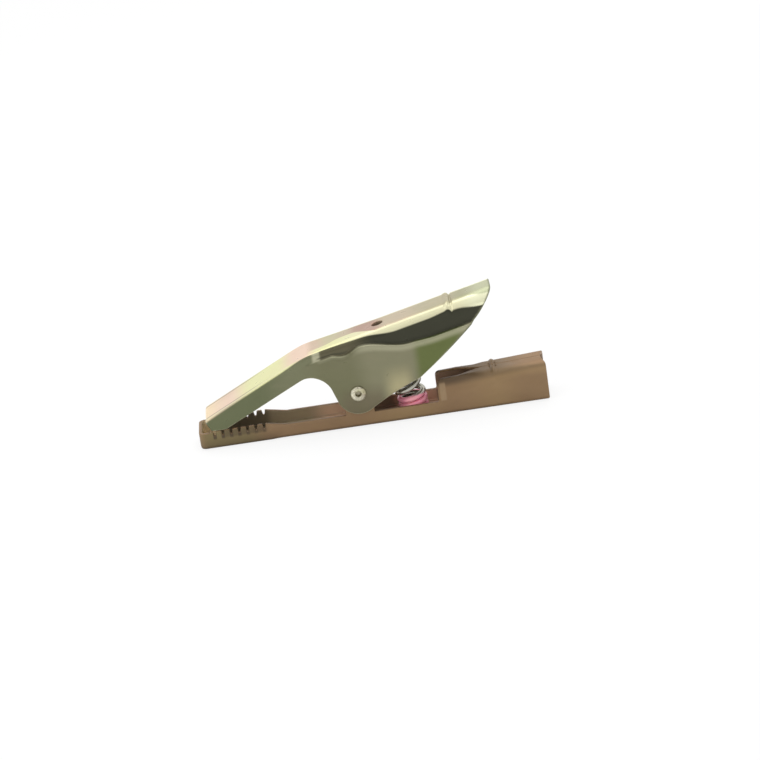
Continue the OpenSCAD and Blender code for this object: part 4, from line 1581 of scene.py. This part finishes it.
class CLAMP_OT_spring(bpy.types.Operator):
    """Wind the compression spring between the floor of the lower lever and the back of the upper one"""

    bl_idname = "clamp.spring"
    bl_label = "Spring"

    def execute(self, context):
        s = context.scene.clamp_levers
        spring = context.scene.clamp_spring
        lower, upper = LowerForm(s), UpperForm(s)
        wire_r = spring.wire_d / 2
        normal = Vector((-math.sin(s.handle_angle), 0, math.cos(s.handle_angle)))
        foot = Vector((spring.foot, 0, lower.floor_z(spring.foot) + s.sheet + spring.seat_gap + wire_r))
        back = Vector((spring.head, 0, upper.back_z(spring.head)))
        head = back - normal * (s.sheet + 3 * spring.seat_gap + wire_r)
        third = (head - foot).length / 3
        rings_per_turn = 48
        finish = spring_finish(context.scene.clamp_finishes, spring.foot)
        values = {
            "Foot": foot,
            "Foot Handle": foot + Vector((0, 0, third)),
            "Head Handle": head - normal * third,
            "Head": head,
            "Turns": spring.turns,
            "Closed Turns": spring.closed_turns,
            "Opening Turns": spring.opening_turns,
            "Closed Rise": (spring.wire_d + spring.closed_gap) / (head - foot).length,
            "Coil Radius": s.half - s.sheet - spring.side_gap - wire_r,
            "Wire Radius": wire_r,
            "Rings": int(spring.turns * rings_per_turn),
            "Wire Sides": 20,
            "Material": finish,
        }
        data = grown_mesh("spring wire", spring_tree(), values)
        data.transform(Matrix.Translation(PIVOT))
        piece = new_piece("spring_wire", data, finish)
        smooth(data, 50)
        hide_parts("spring")
        start = PIVOT + Vector((spring.foot, 0, lower.floor_z(spring.foot) + s.sheet + spring.wire_d))
        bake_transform(piece)
        return {"FINISHED"}


class CLAMP_OT_stage(bpy.types.Operator):
    """Set up the floor, the soft light and the camera"""

    bl_idname = "clamp.stage"
    bl_label = "Stage"

    def execute(self, context):
        self.add_floor(context)
        self.add_world(context)
        self.add_lamp("overhead lamp", Vector((0.05, 0.15, 0.6)), size=0.6, power=1.1)
        self.add_lamp("side lamp", Vector((-0.5, -0.35, 0.45)), size=0.5, power=0.6)
        self.add_camera(context)
        context.scene.view_settings.view_transform = "Standard"
        return {"FINISHED"}

    def add_floor(self, context):
        reach = 3.0
        data = bpy.data.meshes.new("floor")
        corners = [(-reach, -reach, 0), (reach, -reach, 0), (reach, reach, 0), (-reach, reach, 0)]
        data.from_pydata(corners, [], [(0, 1, 2, 3)])
        floor = placed("floor", data)
        material = bpy.data.materials.new("pale floor")
        material.use_nodes = True
        n = NodeTree(material.node_tree)
        material.node_tree.nodes.clear()
        paper = n.get("ShaderNodeBsdfDiffuse", {"Color": (0.95, 0.95, 0.95)})
        white = n.get("ShaderNodeEmission", {"Color": (1, 1, 1), "Strength": 1.0})
        seen = n.get("ShaderNodeLightPath", output="Is Camera Ray")
        white_share = 0.82
        mixed = n.get("ShaderNodeMixShader", {0: seen * white_share, 1: paper, 2: white})
        n.add("ShaderNodeOutputMaterial", {"Surface": mixed})
        data.materials.append(material)

    def add_world(self, context):
        """White behind and above, greyer in front, and plain white to the camera."""
        world = bpy.data.worlds.new("studio")
        context.scene.world = world
        world.use_nodes = True
        n = NodeTree(world.node_tree)
        world.node_tree.nodes.clear()
        _, y, z = n.parts(n.get("ShaderNodeTexCoord", output="Generated"))
        front_level, gain = 0.65, 0.25
        level = (n.step(y, -0.3, 0.7) + n.step(z, 0.1, 0.8)) * gain + front_level
        seen = n.get("ShaderNodeLightPath", output="Is Camera Ray")
        strength = n.math("MAXIMUM", level, seen)
        sky = n.get("ShaderNodeBackground", {"Color": (1, 1, 1), "Strength": strength})
        n.add("ShaderNodeOutputWorld", {"Surface": sky})

    def add_lamp(self, name, offset, size, power):
        """A round lamp at an offset from the pivot, turned towards it."""
        light = bpy.data.lights.new(name, "AREA")
        light.shape = "DISK"
        light.size = size
        light.energy = power
        lamp = placed(name, light)
        lamp.location = PIVOT + offset
        lamp.rotation_euler = (-offset).to_track_quat("-Z", "Y").to_euler()

    def add_camera(self, context):
        studio = context.scene.clamp_studio
        plate_half = context.scene.clamp_levers.plate_half
        e, roll = studio.camera_elevation, studio.camera_roll
        back = Vector((0, -math.cos(e), math.sin(e)))
        level_up = Vector((0, math.sin(e), math.cos(e)))
        level_right = Vector((1, 0, 0))
        right = level_right * math.cos(roll) - level_up * math.sin(roll)
        up = level_right * math.sin(roll) + level_up * math.cos(roll)
        target = PIVOT + Vector((0, -plate_half, 0)) + right * studio.view_right + up * studio.view_up
        data = bpy.data.cameras.new("camera")
        data.sensor_width = 36
        data.lens = data.sensor_width * studio.camera_distance / studio.view_width
        camera = placed("camera", data)
        turn = Matrix((right, up, back)).transposed().to_4x4()
        camera.matrix_world = Matrix.Translation(target + back * studio.camera_distance) @ turn
        context.scene.camera = camera


class CLAMP_PT_sidebar(bpy.types.Panel):
    """Sizes, finishes and steps of the clamp"""

    bl_label = "Spring clamp"
    bl_idname = "CLAMP_PT_sidebar"
    bl_space_type = "VIEW_3D"
    bl_region_type = "UI"
    bl_category = "Spring clamp"

    def draw(self, context):
        for name, group in PROPERTY_GROUPS.items():
            box = self.layout.box()
            for key in group.__annotations__:
                box.prop(getattr(context.scene, name), key)
        for operator in OPERATORS:
            self.layout.operator(operator.bl_idname)


PROPERTY_GROUPS = {
    "clamp_levers": ClampLeverSizes,
    "clamp_spring": ClampSpringSizes,
    "clamp_rivet": ClampRivetSizes,
    "clamp_finishes": ClampFinishes,
    "clamp_studio": ClampStudio,
}
PIECES = (CLAMP_OT_lower_lever, CLAMP_OT_upper_lever, CLAMP_OT_pivot_rivet, CLAMP_OT_spring)
OPERATORS = (CLAMP_OT_stage, *PIECES)
CLASSES = (*PROPERTY_GROUPS.values(), *OPERATORS, CLAMP_PT_sidebar)


def register():
    for cls in CLASSES:
        bpy.utils.register_class(cls)
    for name, group in PROPERTY_GROUPS.items():
        setattr(bpy.types.Scene, name, PointerProperty(type=group))


def unregister():
    for name in PROPERTY_GROUPS:
        delattr(bpy.types.Scene, name)
    for cls in reversed(CLASSES):
        bpy.utils.unregister_class(cls)


def main():
    register()
    bpy.ops.clamp.stage()
    bpy.ops.clamp.lower_lever()
    bpy.ops.clamp.upper_lever()
    bpy.ops.clamp.pivot_rivet()
    bpy.ops.clamp.spring()
    bpy.context.view_layer.update()


if __name__ == "__main__":
    main()
